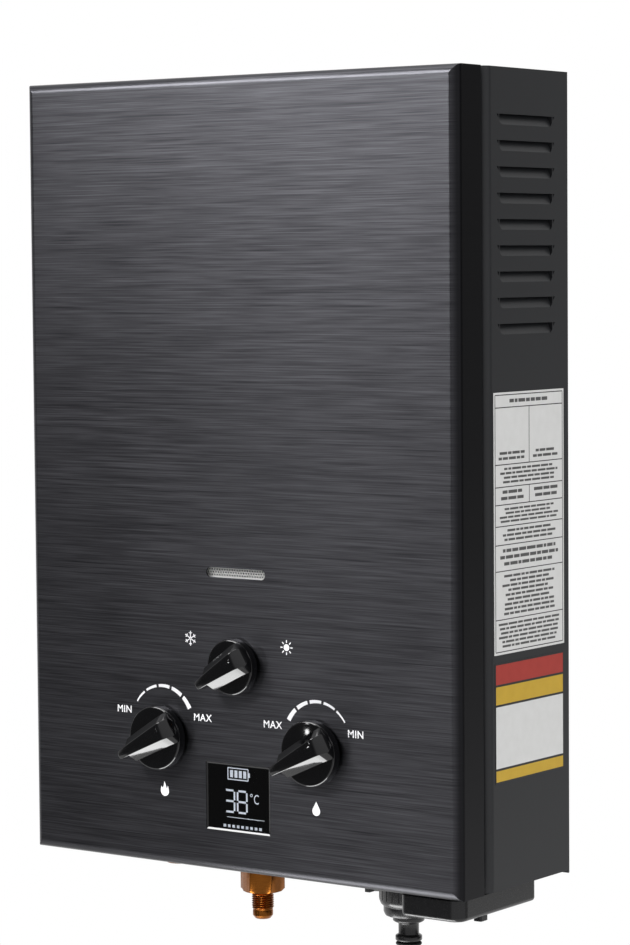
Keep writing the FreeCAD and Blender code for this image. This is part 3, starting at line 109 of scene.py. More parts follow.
@dataclass(frozen=True)
class Finish:
    """A surface finish: what the thing is made of, and how its surface was made.

    Attributes:
        name: The material's plain name.
        colour: Its usual sRGB colour.
        shade: The second colour that the grain drifts to.
        metallic: 1 for bare metal.
        roughness: Its middle roughness.
        spread: How far the grain moves the roughness.
        grain: Size of one grain along x, y and z, in millimetres.
        depth: Height of the grain in millimetres.
        ior: Index of refraction, None where the default stays.
        detail: Octaves of the grain.
    """

    name: str
    colour: str
    shade: str
    metallic: float = 0.0
    roughness: float = 0.5
    spread: float = 0.08
    grain: tuple[float, float, float] = (1.0, 1.0, 1.0)
    depth: float = 0.02
    ior: float | None = None
    detail: float = 4.0

    def grain_field(self, tree: Tree, grain: tuple[float, float, float], detail: float) -> Socket:
        """Adds a noise whose cells have the given size.

        Args:
            tree: The material's tree.
            grain: Cell size along x, y and z in millimetres.
            detail: Octaves.

        Returns:
            The noise's factor.
        """
        place = add_node(tree, "ShaderNodeTexCoord")
        scale = tuple(1 / (size * MM) for size in grain)
        spread = add_node(tree, "ShaderNodeMapping", values={"Scale": scale},
                          links={"Vector": place.outputs["Object"]})
        noise = add_node(tree, "ShaderNodeTexNoise", values={"Scale": 1.0, "Detail": detail},
                         links={"Vector": spread.outputs["Vector"]})
        return noise.outputs["Fac"]

    def build(self) -> bpy.types.Material:
        """Makes the material, once per name.

        Returns:
            The material.
        """
        known = bpy.data.materials.get(self.name)
        if known:
            return known
        made = bpy.data.materials.new(self.name)
        made.use_nodes = True
        tree = made.node_tree
        shader = tree.nodes["Principled BSDF"]
        shader.inputs["Metallic"].default_value = self.metallic
        if self.ior is not None:
            shader.inputs["IOR"].default_value = self.ior
        self.dress(tree, shader, self.grain_field(tree, self.grain, self.detail))
        return made

    def dress(self, tree: Tree, shader: Node, grain: Socket) -> None:
        """Lets the grain drive colour, roughness and height.

        Args:
            tree: The material's tree.
            shader: The surface shader.
            grain: The grain's factor.
        """
        tint = add_node(tree, "ShaderNodeMix", {"data_type": "RGBA"},
                        {6: linear(self.colour), 7: linear(self.shade)}, {0: grain})
        tree.links.new(tint.outputs[2], shader.inputs["Base Color"])
        rough = add_node(tree, "ShaderNodeMapRange", values={
            "To Min": max(self.roughness - self.spread, 0.02), "To Max": self.roughness + self.spread},
            links={"Value": grain})
        tree.links.new(rough.outputs["Result"], shader.inputs["Roughness"])
        bump = add_node(tree, "ShaderNodeBump", values={"Strength": 1.0, "Distance": self.depth * MM},
                        links={"Height": grain})
        tree.links.new(bump.outputs["Normal"], shader.inputs["Normal"])


@dataclass(frozen=True)
class BrushedFinish(Finish):
    """Sheet brushed along x by a wide belt: long fine scratches among short strong ones.

    Attributes:
        stroke: Size of a long scratch along x, y and z, in millimetres, drawn as coarse as it needs to show.
        blur: Size of a short scratch.
        contrast: Sums of both scratches that give the darkest and the lightest grain.
        octaves: Octaves of the long and of the short scratches.
        cloud: Share of the sheet's own cloudiness.
        brightest: Sum of scratches and cloudiness that gives the lightest grain.
        bend_painted_shade: How far painted shade darkens the colour where the sheet is bent away from the
            front.
        painted_shade_span: How far bent the sheet is where the painted shade begins and is full.
        bend_calm: How far the scratches fade there.
        calm_span: How far bent the sheet is where the fading begins and is full.
        pull: How far the brushing stretches a highlight.
    """

    stroke: Place = (130.0, 130.0, 0.5)
    blur: Place = (34.0, 34.0, 0.8)
    contrast: Point = (0.62, 1.38)
    octaves: Point = (3.0, 5.0)
    cloud: float = 0.25
    brightest: float = 1.2
    bend_painted_shade: float = 0.36
    painted_shade_span: Point = (0.1, 0.8)
    bend_calm: float = 0.9
    calm_span: Point = (0.2, 0.9)
    pull: float = 0.7

    def dress(self, tree: Tree, shader: Node, grain: Socket) -> None:
        """Adds two lengths of scratch over the sheet's cloudiness, calmer on the bends, where painted shade
        darkens the colour.

        Args:
            tree: The material's tree.
            shader: The surface shader.
            grain: The cloudiness, left in the colour.
        """
        long_scratch = self.grain_field(tree, self.stroke, self.octaves[0])
        short_scratch = self.grain_field(tree, self.blur, self.octaves[1])
        both = add_node(tree, "ShaderNodeMath", {"operation": "ADD"},
                        links={0: long_scratch, 1: short_scratch})
        sharp = add_node(tree, "ShaderNodeMapRange",
                         values={"From Min": self.contrast[0], "From Max": self.contrast[1]},
                         links={"Value": both.outputs[0]})
        mixed = add_node(tree, "ShaderNodeMath", {"operation": "MULTIPLY_ADD"}, {1: self.cloud},
                         {0: grain, 2: sharp.outputs["Result"]})
        level = add_node(tree, "ShaderNodeMapRange", values={"From Max": self.brightest},
                         links={"Value": mixed.outputs[0]})
        turned = self._turned(tree)
        fade = add_node(tree, "ShaderNodeMapRange", values={
            "From Min": self.calm_span[0], "From Max": self.calm_span[1], "To Max": self.bend_calm},
            links={"Value": turned})
        calm = add_node(tree, "ShaderNodeMix", {}, {3: 0.5},
                        {0: fade.outputs["Result"], 2: level.outputs["Result"]})
        super().dress(tree, shader, calm.outputs[0])
        # painted shade: the colour darkens on the side and lower bends, standing in for the dark surround
        # that they mirror
        shade = add_node(tree, "ShaderNodeMapRange", values={
            "From Min": self.painted_shade_span[0], "From Max": self.painted_shade_span[1], "To Min": 1.0,
            "To Max": self.bend_painted_shade}, links={"Value": turned})
        tint = shader.inputs["Base Color"].links[0].from_socket
        darker = add_node(tree, "ShaderNodeMix", {"data_type": "RGBA", "blend_type": "MULTIPLY"}, {0: 1.0},
                          {6: tint, 7: shade.outputs["Result"]})
        tree.links.new(darker.outputs[2], shader.inputs["Base Color"])
        shader.inputs["Anisotropic"].default_value = self.pull
        shader.inputs["Anisotropic Rotation"].default_value = 0.25

    def _turned(self, tree: Tree) -> Socket:
        """Measures how far a face is bent away from the front.

        Args:
            tree: The material's tree.

        Returns:
            0 on the front, 1 on a face that points sideways or down.
        """
        place = add_node(tree, "ShaderNodeTexCoord")
        parts = add_node(tree, "ShaderNodeSeparateXYZ", links={0: place.outputs["Normal"]})
        side = add_node(tree, "ShaderNodeMath", {"operation": "ABSOLUTE"}, links={0: parts.outputs["X"]})
        under = add_node(tree, "ShaderNodeMath", {"operation": "MULTIPLY"}, {1: -1.0},
                         {0: parts.outputs["Z"]})
        turned = add_node(tree, "ShaderNodeMath", {"operation": "MAXIMUM"},
                          links={0: side.outputs[0], 1: under.outputs[0]})
        return turned.outputs[0]


@dataclass(frozen=True)
class ClearFinish(Finish):
    """Clear or smoked sheet that shows what is behind it."""

    def dress(self, tree: Tree, shader: Node, grain: Socket) -> None:
        """Makes the shader transmit, tinted by its colour.

        Args:
            tree: The material's tree.
            shader: The surface shader.
            grain: Slight waviness of the roughness.
        """
        shader.inputs["Transmission Weight"].default_value = 1.0
        shader.inputs["Base Color"].default_value = linear(self.colour)
        rough = add_node(tree, "ShaderNodeMapRange", values={
            "To Min": self.roughness, "To Max": self.roughness + self.spread}, links={"Value": grain})
        tree.links.new(rough.outputs["Result"], shader.inputs["Roughness"])


@dataclass(frozen=True)
class LitFinish(Finish):
    """Lit segments of a display cell."""

    glow: float = 0.6

    def dress(self, tree: Tree, shader: Node, grain: Socket) -> None:
        """Adds a steady glow to the plain finish.

        Args:
            tree: The material's tree.
            shader: The surface shader.
            grain: The grain's factor.
        """
        super().dress(tree, shader, grain)
        shader.inputs["Emission Color"].default_value = linear(self.colour)
        shader.inputs["Emission Strength"].default_value = self.glow


# thin stainless sheet, tinted black, brushed along its width: fine streaks, lighter where the lamp overhead
# is near; painted shade darkens the colour on its side and lower bends
BRUSHED_COVER = BrushedFinish("brushed_black_stainless", "2c2c2f", "59595d", 1.0, 0.33, 0.05, (90, 90, 90),
                              0.006)
# galvanised steel with satin black powder coat: an even dark grey sheen with a faint orange peel
POWDER_COAT = Finish("black_powder_coat", "17181a", "1f2022", 0.0, 0.46, 0.05, (1.6, 1.6, 1.6), 0.012, 1.5)
# polished injection-moulded ABS: near-mirror black with sharp lamp reflections
GLOSS_ABS = Finish("gloss_black_abs", "040405", "070708", 0.0, 0.05, 0.02, (6, 6, 6), 0.0005, 1.53)
# moulded ABS from an etched tool: dull black with a fine grain
MATTE_ABS = Finish("etched_black_abs", "0e0e0f", "161617", 0.0, 0.48, 0.08, (0.5, 0.5, 0.5), 0.02, 1.53)
# moulded ABS of the battery box, from a polished tool: black with a soft shine
SATIN_ABS = Finish("satin_black_abs", "070708", "0c0c0d", 0.0, 0.26, 0.05, (0.7, 0.7, 0.7), 0.008, 1.53)
# glass-filled nylon of the hose fittings: slightly shinier than the housings
NYLON = Finish("moulded_nylon", "080809", "0d0d0e", 0.0, 0.27, 0.08, (0.9, 0.9, 0.9), 0.015, 1.53)
# turned brass, handled: warm with darker tarnish in patches
BRASS = Finish("turned_brass", "9c6026", "673a14", 1.0, 0.30, 0.10, (4, 4, 0.4), 0.008)
# drawn copper tube and sheet: orange with dull oxide clouds
COPPER = Finish("drawn_copper", "c47a52", "8a4f36", 1.0, 0.34, 0.12, (14, 14, 14), 0.01)
# die-cast aluminium: pale grey with a coarse grain
CAST_ALUMINIUM = Finish("die_cast_aluminium", "a9abad", "8b8d90", 1.0, 0.5, 0.10, (0.9, 0.9, 0.9), 0.03)
# zinc-plated steel: cool bright grey with faint spangle
ZINC_STEEL = Finish("zinc_plated_steel", "c2c4c6", "989b9f", 1.0, 0.33, 0.10, (5, 5, 5), 0.006)
# perforated strip behind the sight slot, zinc passivated pale: half matte, so it stays light at any angle
BRIGHT_STRIP = Finish("passivated_zinc_strip", "eeeeec", "d8d8d5", 0.15, 0.42, 0.08, (3, 3, 3), 0.004)
# nitrile rubber: dull black
RUBBER = Finish("nitrile_rubber", "121212", "1a1a1a", 0.0, 0.72, 0.08, (0.8, 0.8, 0.8), 0.02, 1.52)
# alumina ceramic, glazed: off-white and glossy
CERAMIC = Finish("glazed_alumina", "ebe6da", "ddd6c6", 0.0, 0.22, 0.06, (3, 3, 3), 0.004, 1.76)
# circuit board under green solder resist
BOARD = Finish("solder_resist_board", "0d3b22", "14502e", 0.0, 0.35, 0.08, (2, 2, 2), 0.01, 1.55)
# screen ink on the brushed cover: flat white, a little of the brushing shows through
WHITE_INK = Finish("white_screen_ink", "f4f4f5", "e2e2e4", 0.0, 0.5, 0.08, (14, 14, 0.5), 0.006, 1.5)
# black glass of the display cell behind the window
CELL_GLASS = Finish("display_cell_glass", "050507", "08080b", 0.0, 0.12, 0.03, (8, 8, 8), 0.001, 1.52)
# smoked acrylic window: nearly clear, with a polished face
SMOKED_WINDOW = ClearFinish("smoked_acrylic", "b9bcc2", "b9bcc2", 0.0, 0.03, 0.02, (8, 8, 8), 0.0, 1.49)
# segments of the display, lit from behind: cool white
SEGMENT = LitFinish("display_segment", "e0e4ea", "cdd3db", 0.0, 0.5, 0.05, (4, 4, 4), 0.0, 1.5)
# coated paper labels: white, red, yellow and grey inks under a satin film
LABEL_WHITE = Finish("label_white", "dededc", "d2d2cf", 0.0, 0.4, 0.06, (7, 7, 7), 0.004, 1.5)
LABEL_RED = Finish("label_red", "a8352b", "9b2f26", 0.0, 0.4, 0.06, (7, 7, 7), 0.004, 1.5)
LABEL_YELLOW = Finish("label_yellow", "c9a533", "bd9a2d", 0.0, 0.4, 0.06, (7, 7, 7), 0.004, 1.5)
LABEL_DARK = Finish("label_dark", "1b1b1c", "232324", 0.0, 0.42, 0.06, (7, 7, 7), 0.004, 1.5)
LABEL_GREY = Finish("label_grey", "555554", "4a4a49", 0.0, 0.4, 0.06, (7, 7, 7), 0.004, 1.5)


def cover_node(name: str, finish: Finish) -> None:
    """Gives a carried-over node its finish.

    Args:
        name: The node's name.
        finish: Its finish.
    """
    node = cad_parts[name]
    node.data.materials.clear()
    node.data.materials.append(finish.build())
    LOG.info("node %s: %s", name, finish.name)


def make_piece(mesh: bpy.types.Mesh, finish: Finish, body: str = "heater") -> bpy.types.Object:
    """Puts a mesh in the scene as a piece of the same name that rides on a body.

    Args:
        mesh: Its mesh, in the frame's own coordinates.
        finish: Its finish.
        body: The body it rides on.

    Returns:
        The new object.
    """
    piece = bpy.data.objects.new(mesh.name, mesh)
    bpy.context.scene.collection.objects.link(piece)
    mesh.materials.clear()
    mesh.materials.append(finish.build())
    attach(piece, body)
    LOG.info("piece %s: %s on %s", piece.name, finish.name, body)
    return piece


def mesh_of(name: str, build: Build, smooth_angle: float = 0.0) -> bpy.types.Mesh:
    """Turns a bmesh into a mesh with outward faces.

    Args:
        name: The mesh's name.
        build: The faces; freed here.
        smooth_angle: Edges flatter than this many degrees are shaded smooth.

    Returns:
        The mesh.
    """
    bmesh.ops.recalc_face_normals(build, faces=build.faces)
    if smooth_angle:
        limit = math.radians(smooth_angle)
        for face in build.faces:
            face.smooth = True
        for edge in build.edges:
            edge.smooth = len(edge.link_faces) == 2 and edge.calc_face_angle(0.0) < limit
    mesh = bpy.data.meshes.new(name)
    build.to_mesh(mesh)
    build.free()
    return mesh


def flat_point(side: Side, u: float, v: float, level: float) -> Vector:
    """Places a point of a flat mark.

    Args:
        side: The face that the mark lies on.
        u: Distance along the face in millimetres: x on the front, y on the right side.
        v: Height in millimetres.
        level: Where the face lies along its normal axis, in millimetres.

    Returns:
        The place in metres.
    """
    if side is Side.FRONT:
        return Vector((u, level, v)) * MM
    return Vector((level, u, v)) * MM


def polar(radius: float, angle: float) -> Point:
    """Turns a distance and an angle in radians into a point."""
    return radius * math.cos(angle), radius * math.sin(angle)


def add_ring(build: Build, foot: Vector, radii: list[float], height: float,
             turn: Matrix = UPRIGHT) -> Ring:
    """Adds points evenly spaced round an axis.

    Args:
        build: The bmesh that takes them.
        foot: Where height 0 lies, in millimetres.
        radii: Distance from the axis, one for each point.
        height: Their height along the axis.
        turn: Turns an upright axis to the wanted one.

    Returns:
        The points in order.
    """
    step = math.tau / len(radii)
    spots = [Vector((*polar(radius, step * i), height)) for i, radius in enumerate(radii)]
    return [build.verts.new((foot + turn @ spot) * MM) for spot in spots]


def join_rings(build: Build, rings: list[Ring], closed: bool = False) -> None:
    """Joins each ring to the next with four-sided faces.

    Args:
        build: The bmesh that takes the faces.
        rings: Rings of equal length, in order.
        closed: Whether the last ring is joined to the first.
    """
    following = rings[1:] + rings[:1] if closed else rings[1:]
    for low, high in zip(rings, following):
        for i in range(len(low)):
            j = (i + 1) % len(low)
            build.faces.new((low[i], low[j], high[j], high[i]))


def add_plate(build: Build, outline: Outline, side: Side, level: float, thick: float) -> None:
    """Adds a flat closed plate with the given outline.

    Args:
        build: The bmesh that takes it.
        outline: Corners (u, v) in millimetres, in order.
        side: The face that it lies on.
        level: The plate's underside along the face's normal axis, in millimetres.
        thick: Signed thickness along that axis, in millimetres.
    """
    low, high = ([build.verts.new(flat_point(side, u, v, at)) for u, v in outline]
                 for at in (level, level + thick))
    build.faces.new(low)
    build.faces.new(high)
    join_rings(build, [low, high])


def lay_marks(name: str, outlines: list[Outline], side: Side, level: float,
              thick: float) -> bpy.types.Mesh:
    """Makes one mesh of thin plates, such as print or paper.

    Args:
        name: The mesh's name.
        outlines: The plates' outlines.
        side: The face that they lie on.
        level: Their underside along the face's normal axis, in millimetres.
        thick: Signed thickness along that axis, in millimetres.

    Returns:
        The mesh.
    """
    build = bmesh.new()
    for outline in outlines:
        add_plate(build, outline, side, level, thick)
    return mesh_of(name, build)


def bar(x0: float, z0: float, x1: float, z1: float, width: float) -> Outline:
    """Outline of a straight stroke between two points.

    Args:
        x0: Start along u.
        z0: Start along v.
        x1: End along u.
        z1: End along v.
        width: The stroke's width.

    Returns:
        Its four corners.
    """
    along = Vector((x1 - x0, z1 - z0)).normalized()
    side = Vector((-along.y, along.x)) * width / 2
    return [(x0 + side.x, z0 + side.y), (x0 - side.x, z0 - side.y), (x1 - side.x, z1 - side.y),
            (x1 + side.x, z1 + side.y)]


def box_outline(u0: float, u1: float, v0: float, v1: float) -> Outline:
    """Corners of an upright rectangle."""
    return [(u0, v0), (u1, v0), (u1, v1), (u0, v1)]


def lathe(name: str, profile: Outline, foot: Vector, axis: Vector = UP,
          segments: int = 64) -> bpy.types.Mesh:
    """Turns a profile of (radius, height) pairs round an axis.

    Args:
        name: The mesh's name.
        profile: Radius and height in millimetres, a closed loop when its ends are off the axis.
        foot: Where height 0 lies, in millimetres.
        axis: The axis's direction.
        segments: Steps round the axis.

    Returns:
        The mesh.
    """
    build = bmesh.new()
    turn = UP.rotation_difference(axis).to_matrix()
    rings = [add_ring(build, foot, [radius] * segments, height, turn) for radius, height in profile]
    join_rings(build, rings, closed=True)
    bmesh.ops.remove_doubles(build, verts=build.verts, dist=1e-7)
    bmesh.ops.dissolve_degenerate(build, edges=build.edges, dist=1e-7)
    return mesh_of(name, build, 35)


def threaded(name: str, top: float, bottom: float, major: float, bore: float, pitch: float,
             foot: Vector) -> bpy.types.Mesh:
    """A tube whose outside carries a true helical thread.

    Args:
        name: The mesh's name.
        top: Height of the thread's upper end in millimetres.
        bottom: Height of its lower end.
        major: Crest radius.
        bore: Inner radius.
        pitch: Rise per turn.
        foot: Where height 0 lies, in millimetres.

    Returns:
        The mesh.
    """
    build = bmesh.new()
    around, rows_per_turn = 48, 8
    depth, root, flank = 0.54 * pitch, 0.12, 0.76
    rows = int((top - bottom) / pitch * rows_per_turn)
    rings = []
    for row in range(rows + 1):
        height = bottom + (top - bottom) * row / rows
        runout = min(1.0, (height - bottom) / pitch, (top - height) / pitch)
        radii = []
        for i in range(around):
            phase = (height / pitch - i / around) % 1.0
            ridge = 1 - abs(2 * phase - 1)
            raised = max(0.0, min(1.0, (ridge - root) / flank))
            radii.append(major - depth + depth * (raised * runout))
        rings.append(add_ring(build, foot, radii, height))
    rings += [add_ring(build, foot, [bore] * around, height) for height in (top, bottom)]
    join_rings(build, rings, closed=True)
    return mesh_of(name, build, 50)


@dataclass
class Casing:
    """Sheet casing: brushed cover, powder-coated box, screws and the labels on its side.

    Attributes:
        skin: The right side's outer face along x, in millimetres.
        paper: Thickness of a label.
        ink: Thickness of the print on it.
        rule: Width of a ruled line.
        row_fill: Share of a line's height that a bar of print takes.
        first_seed: Seed of the first box of print.
        screw_x: The screws' distance from the middle.
        screw_y: Their place along y.
        screw_head: Half section of a screw: radius and height.
        recess: Half side of the metal left between two arms of the cross, and its height.
        print_boxes: Left, right, low and high edge of each box of print, and its number of lines.
    """

    skin: float = 147.5
    paper: float = 0.12
    ink: float = 0.03
    rule: float = 0.5
    row_fill: float = 0.5
    first_seed: int = 30
    screw_x: float = 75.0
    screw_y: float = -92.0
    screw_head: tuple[Point, ...] = (
        (0.01, -1.15), (2.4, -1.15), (2.4, -1.8), (2.6, -1.75), (3.05, -1.4), (3.2, -0.9), (3.2, 0),
        (1.55, 0), (1.55, 10), (0.01, 10.6))
    recess: Point = (0.75, 0.62)
    print_boxes: tuple[tuple[float, float, float, float, int], ...] = (
        (-64.0, -18.0, 261.0, 264.8, 1), (-71.0, -44.0, 230.8, 236.5, 2),
        (-37.0, -10.0, 230.8, 236.5, 2), (-72.5, -8.5, 218.4, 227.8, 4),
        (-71.0, -44.0, 209.2, 216.0, 2), (-37.0, -10.0, 209.2, 216.0, 2),
        (-72.5, -8.5, 197.4, 206.2, 4), (-72.5, -8.5, 187.4, 194.8, 3),
        (-72.5, -8.5, 174.0, 184.6, 3), (-68.0, -13.0, 147.6, 170.4, 9),
        (-72.5, -8.5, 130.4, 144.6, 6))

    def dress(self) -> None:
        """Gives the sheets their finishes."""
        cover_node("front_cover", BRUSHED_COVER)
        for name in ("side_panel_left", "side_panel_right", "top_panel", "bottom_panel", "back_panel"):
            cover_node(name, POWDER_COAT)

    def screws(self) -> None:
        """Makes the two cover screws with their cross recesses."""
        build = bmesh.new()
        for side in (-1, 1):
            foot = Vector((self.screw_x * side, self.screw_y, 0))
            build.from_mesh(lathe("screw_head", list(self.screw_head), foot, segments=40))
            for turn in range(4):
                self._lump(build, foot + Vector((*polar(1.5, math.radians(45 + 90 * turn)), -1.45)))
        piece = make_piece(mesh_of("cover_screws_recessed", build, 35), ZINC_STEEL)
        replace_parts(piece, "cover_screws")

    def _lump(self, build: Build, centre: Vector) -> None:
        """Adds one quarter of the metal between the arms of a cross recess.

        Args:
            build: The bmesh that takes it.
            centre: Its middle in millimetres.
        """
        made = bmesh.ops.create_cube(build, size=1.0)
        half, tall = self.recess
        scale = Matrix.Diagonal((2 * half * MM, 2 * half * MM, tall * MM, 1))
        bmesh.ops.transform(build, matrix=Matrix.Translation(centre * MM) @ scale, verts=made["verts"])

    def labels(self) -> None:
        """Makes two plain stickers on the right side: ruled white boxes, and bands of colour."""
        left, right = -74.4, -6.6
        paper = {"label_rules_base": (LABEL_WHITE, [box_outline(-75.8, -5.1, 127.3, 267.6)]),
                 "label_bands_base": (LABEL_DARK, [box_outline(-75.2, -5.8, 58.0, 122.8)])}
        ink = {"label_bands_red": (LABEL_RED, [box_outline(left, right, 111.4, 122.0)]),
               "label_bands_yellow": (LABEL_YELLOW, [box_outline(left, right, 100.6, 110.2),
                                                     box_outline(left, right, 59.0, 65.0)]),
               "label_bands_grey": (LABEL_WHITE, [box_outline(left, right, 66.2, 99.4)]),
               "label_rules": (LABEL_DARK, self._rules()),
               "label_rules_rows": (LABEL_GREY, self._all_rows())}
        for plates, level, thick in ((paper, self.skin, self.paper), (ink, self.skin + self.paper, self.ink)):
            for name, (finish, outlines) in plates.items():
                make_piece(lay_marks(name, outlines, Side.RIGHT, level, thick), finish)

    def _rules(self) -> list[Outline]:
        """Thin ruled lines that divide the white label into boxes.

        Returns:
            The lines' outlines.
        """
        left, right, low, high, middle = -74.4, -6.5, 128.8, 266.2, -40.5
        levels = (low, 146.0, 172.0, 186.0, 196.0, 207.5, 217.0, 229.0, 259.5, high)
        lines = [bar(left, v, right, v, self.rule) for v in levels]
        lines += [bar(u, low, u, high, self.rule) for u in (left, right)]
        lines += [bar(middle, v0, middle, v1, self.rule) for v0, v1 in ((207.5, 217.0), (229.0, 259.5))]
        return lines

    def _text_rows(self, u0: float, u1: float, v0: float, v1: float, rows: int,
                   seed: int) -> list[Outline]:
        """Plain bars laid out like lines of print.

        Args:
            u0: Left end.
            u1: Right end.
            v0: Lowest line.
            v1: Highest line.
            rows: Number of lines.
            seed: Seed of the bars' lengths.

        Returns:
            The bars' outlines.
        """
        pick = random.Random(seed)
        step = (v1 - v0) / rows
        half, space, shortest = step * self.row_fill / 2, 0.9, 2
        bars = []
        for row in range(rows):
            middle = v0 + step * (row + 0.5)
            trim = pick.uniform(0.0, 0.16) * (u1 - u0)
            spot = u0 + trim
            while spot < u1 - trim - shortest:
                end = min(spot + pick.uniform(2.5, 9.0), u1 - trim)
                bars.append(box_outline(spot, end, middle - half, middle + half))
                spot = end + space
        return bars

    def _all_rows(self) -> list[Outline]:
        """Bars of print in every ruled box of the white label.

        Returns:
            The bars' outlines.
        """
        bars = []
        for seed, box in enumerate(self.print_boxes, self.first_seed):
            bars += self._text_rows(*box, seed)
        return bars


@dataclass
class SightSlot:
    """Perforated bright strip behind the slot in the cover.

    Attributes:
        centre: The slot's middle along x and z, in millimetres.
        half: Half the strip's width and height with its lips.
        front: The web's front face along y.
        pitch: Spacing of the holes along and across the strip.
        hole: A hole's radius.
        columns: Holes in a row.
        sheet: The strip's thickness.
        rise: Half height of the raised web.
        step: How far the lips stand in front of the web.
    """

    centre: Point = (0.4, 166.8)
    half: Point = (30.0, 12.0)
    front: float = -107.3
    pitch: Point = (1.75, 1.5)
    hole: float = 0.63
    columns: int = 24
    sheet: float = 0.6
    rise: float = 5.2
    step: float = 1.9

    def make(self) -> None:
        """Makes the strip as a web with round holes, and the lips that hold it to the cover."""
        build = bmesh.new()
        (u, v), (du, dv) = self.centre, self.pitch
        for row in (-1, 0, 1):
            shift = du / 2 if row else 0.0
            for column in range(-self.columns // 2, self.columns // 2):
                self._cell(build, u + column * du + shift, v + row * dv)
        left, right = u - self.half[0], u + self.half[0]
        reach, low, high = du * self.columns / 2, v - 1.5 * dv, v + 1.5 * dv
        for strip in (box_outline(left, right, high, v + self.rise),
                      box_outline(left, right, v - self.rise, low),
                      box_outline(left, u - reach - du / 2, low, high),
                      box_outline(u + reach - du / 2 + 0.88, right, low, high)):
            add_plate(build, strip, Side.FRONT, self.front, self.sheet)
        lip_face = self.front - self.step
        for sign in (-1, 1):
            near, far = v + sign * self.rise, v + sign * self.half[1]
            lip, web = sorted((near, far)), sorted((near, near + self.sheet * sign))
            add_plate(build, box_outline(left, right, *lip), Side.FRONT, lip_face, self.sheet)
            add_plate(build, box_outline(left, right, *web), Side.FRONT, lip_face + self.sheet, self.step)
        piece = make_piece(mesh_of("sight_plate_perforated", build), BRIGHT_STRIP)
        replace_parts(piece, "sight_plate")

    def _cell(self, build: Build, u: float, v: float) -> None:
        """Adds one rectangular cell with a round hole through it.

        Args:
            build: The bmesh that takes it.
            u: The hole's place along the strip.
            v: Its height.
        """
        steps, least = 12, 1e-6
        loops = []
        for level in (self.front, self.front + self.sheet):
            outer, inner = [], []
            for i in range(steps):
                c, s = polar(1.0, math.tau * i / steps)
                reach = min(self.pitch[0] / 2 / max(abs(c), least), self.pitch[1] / 2 / max(abs(s), least))
                for loop, radius in ((outer, reach), (inner, self.hole)):
                    spot = flat_point(Side.FRONT, u + radius * c, v + radius * s, level)
                    loop.append(build.verts.new(spot))
            loops.append((outer, inner))
        (outer0, inner0), (outer1, inner1) = loops
        join_rings(build, [outer0, inner0, inner1])
        join_rings(build, [outer1, inner1])


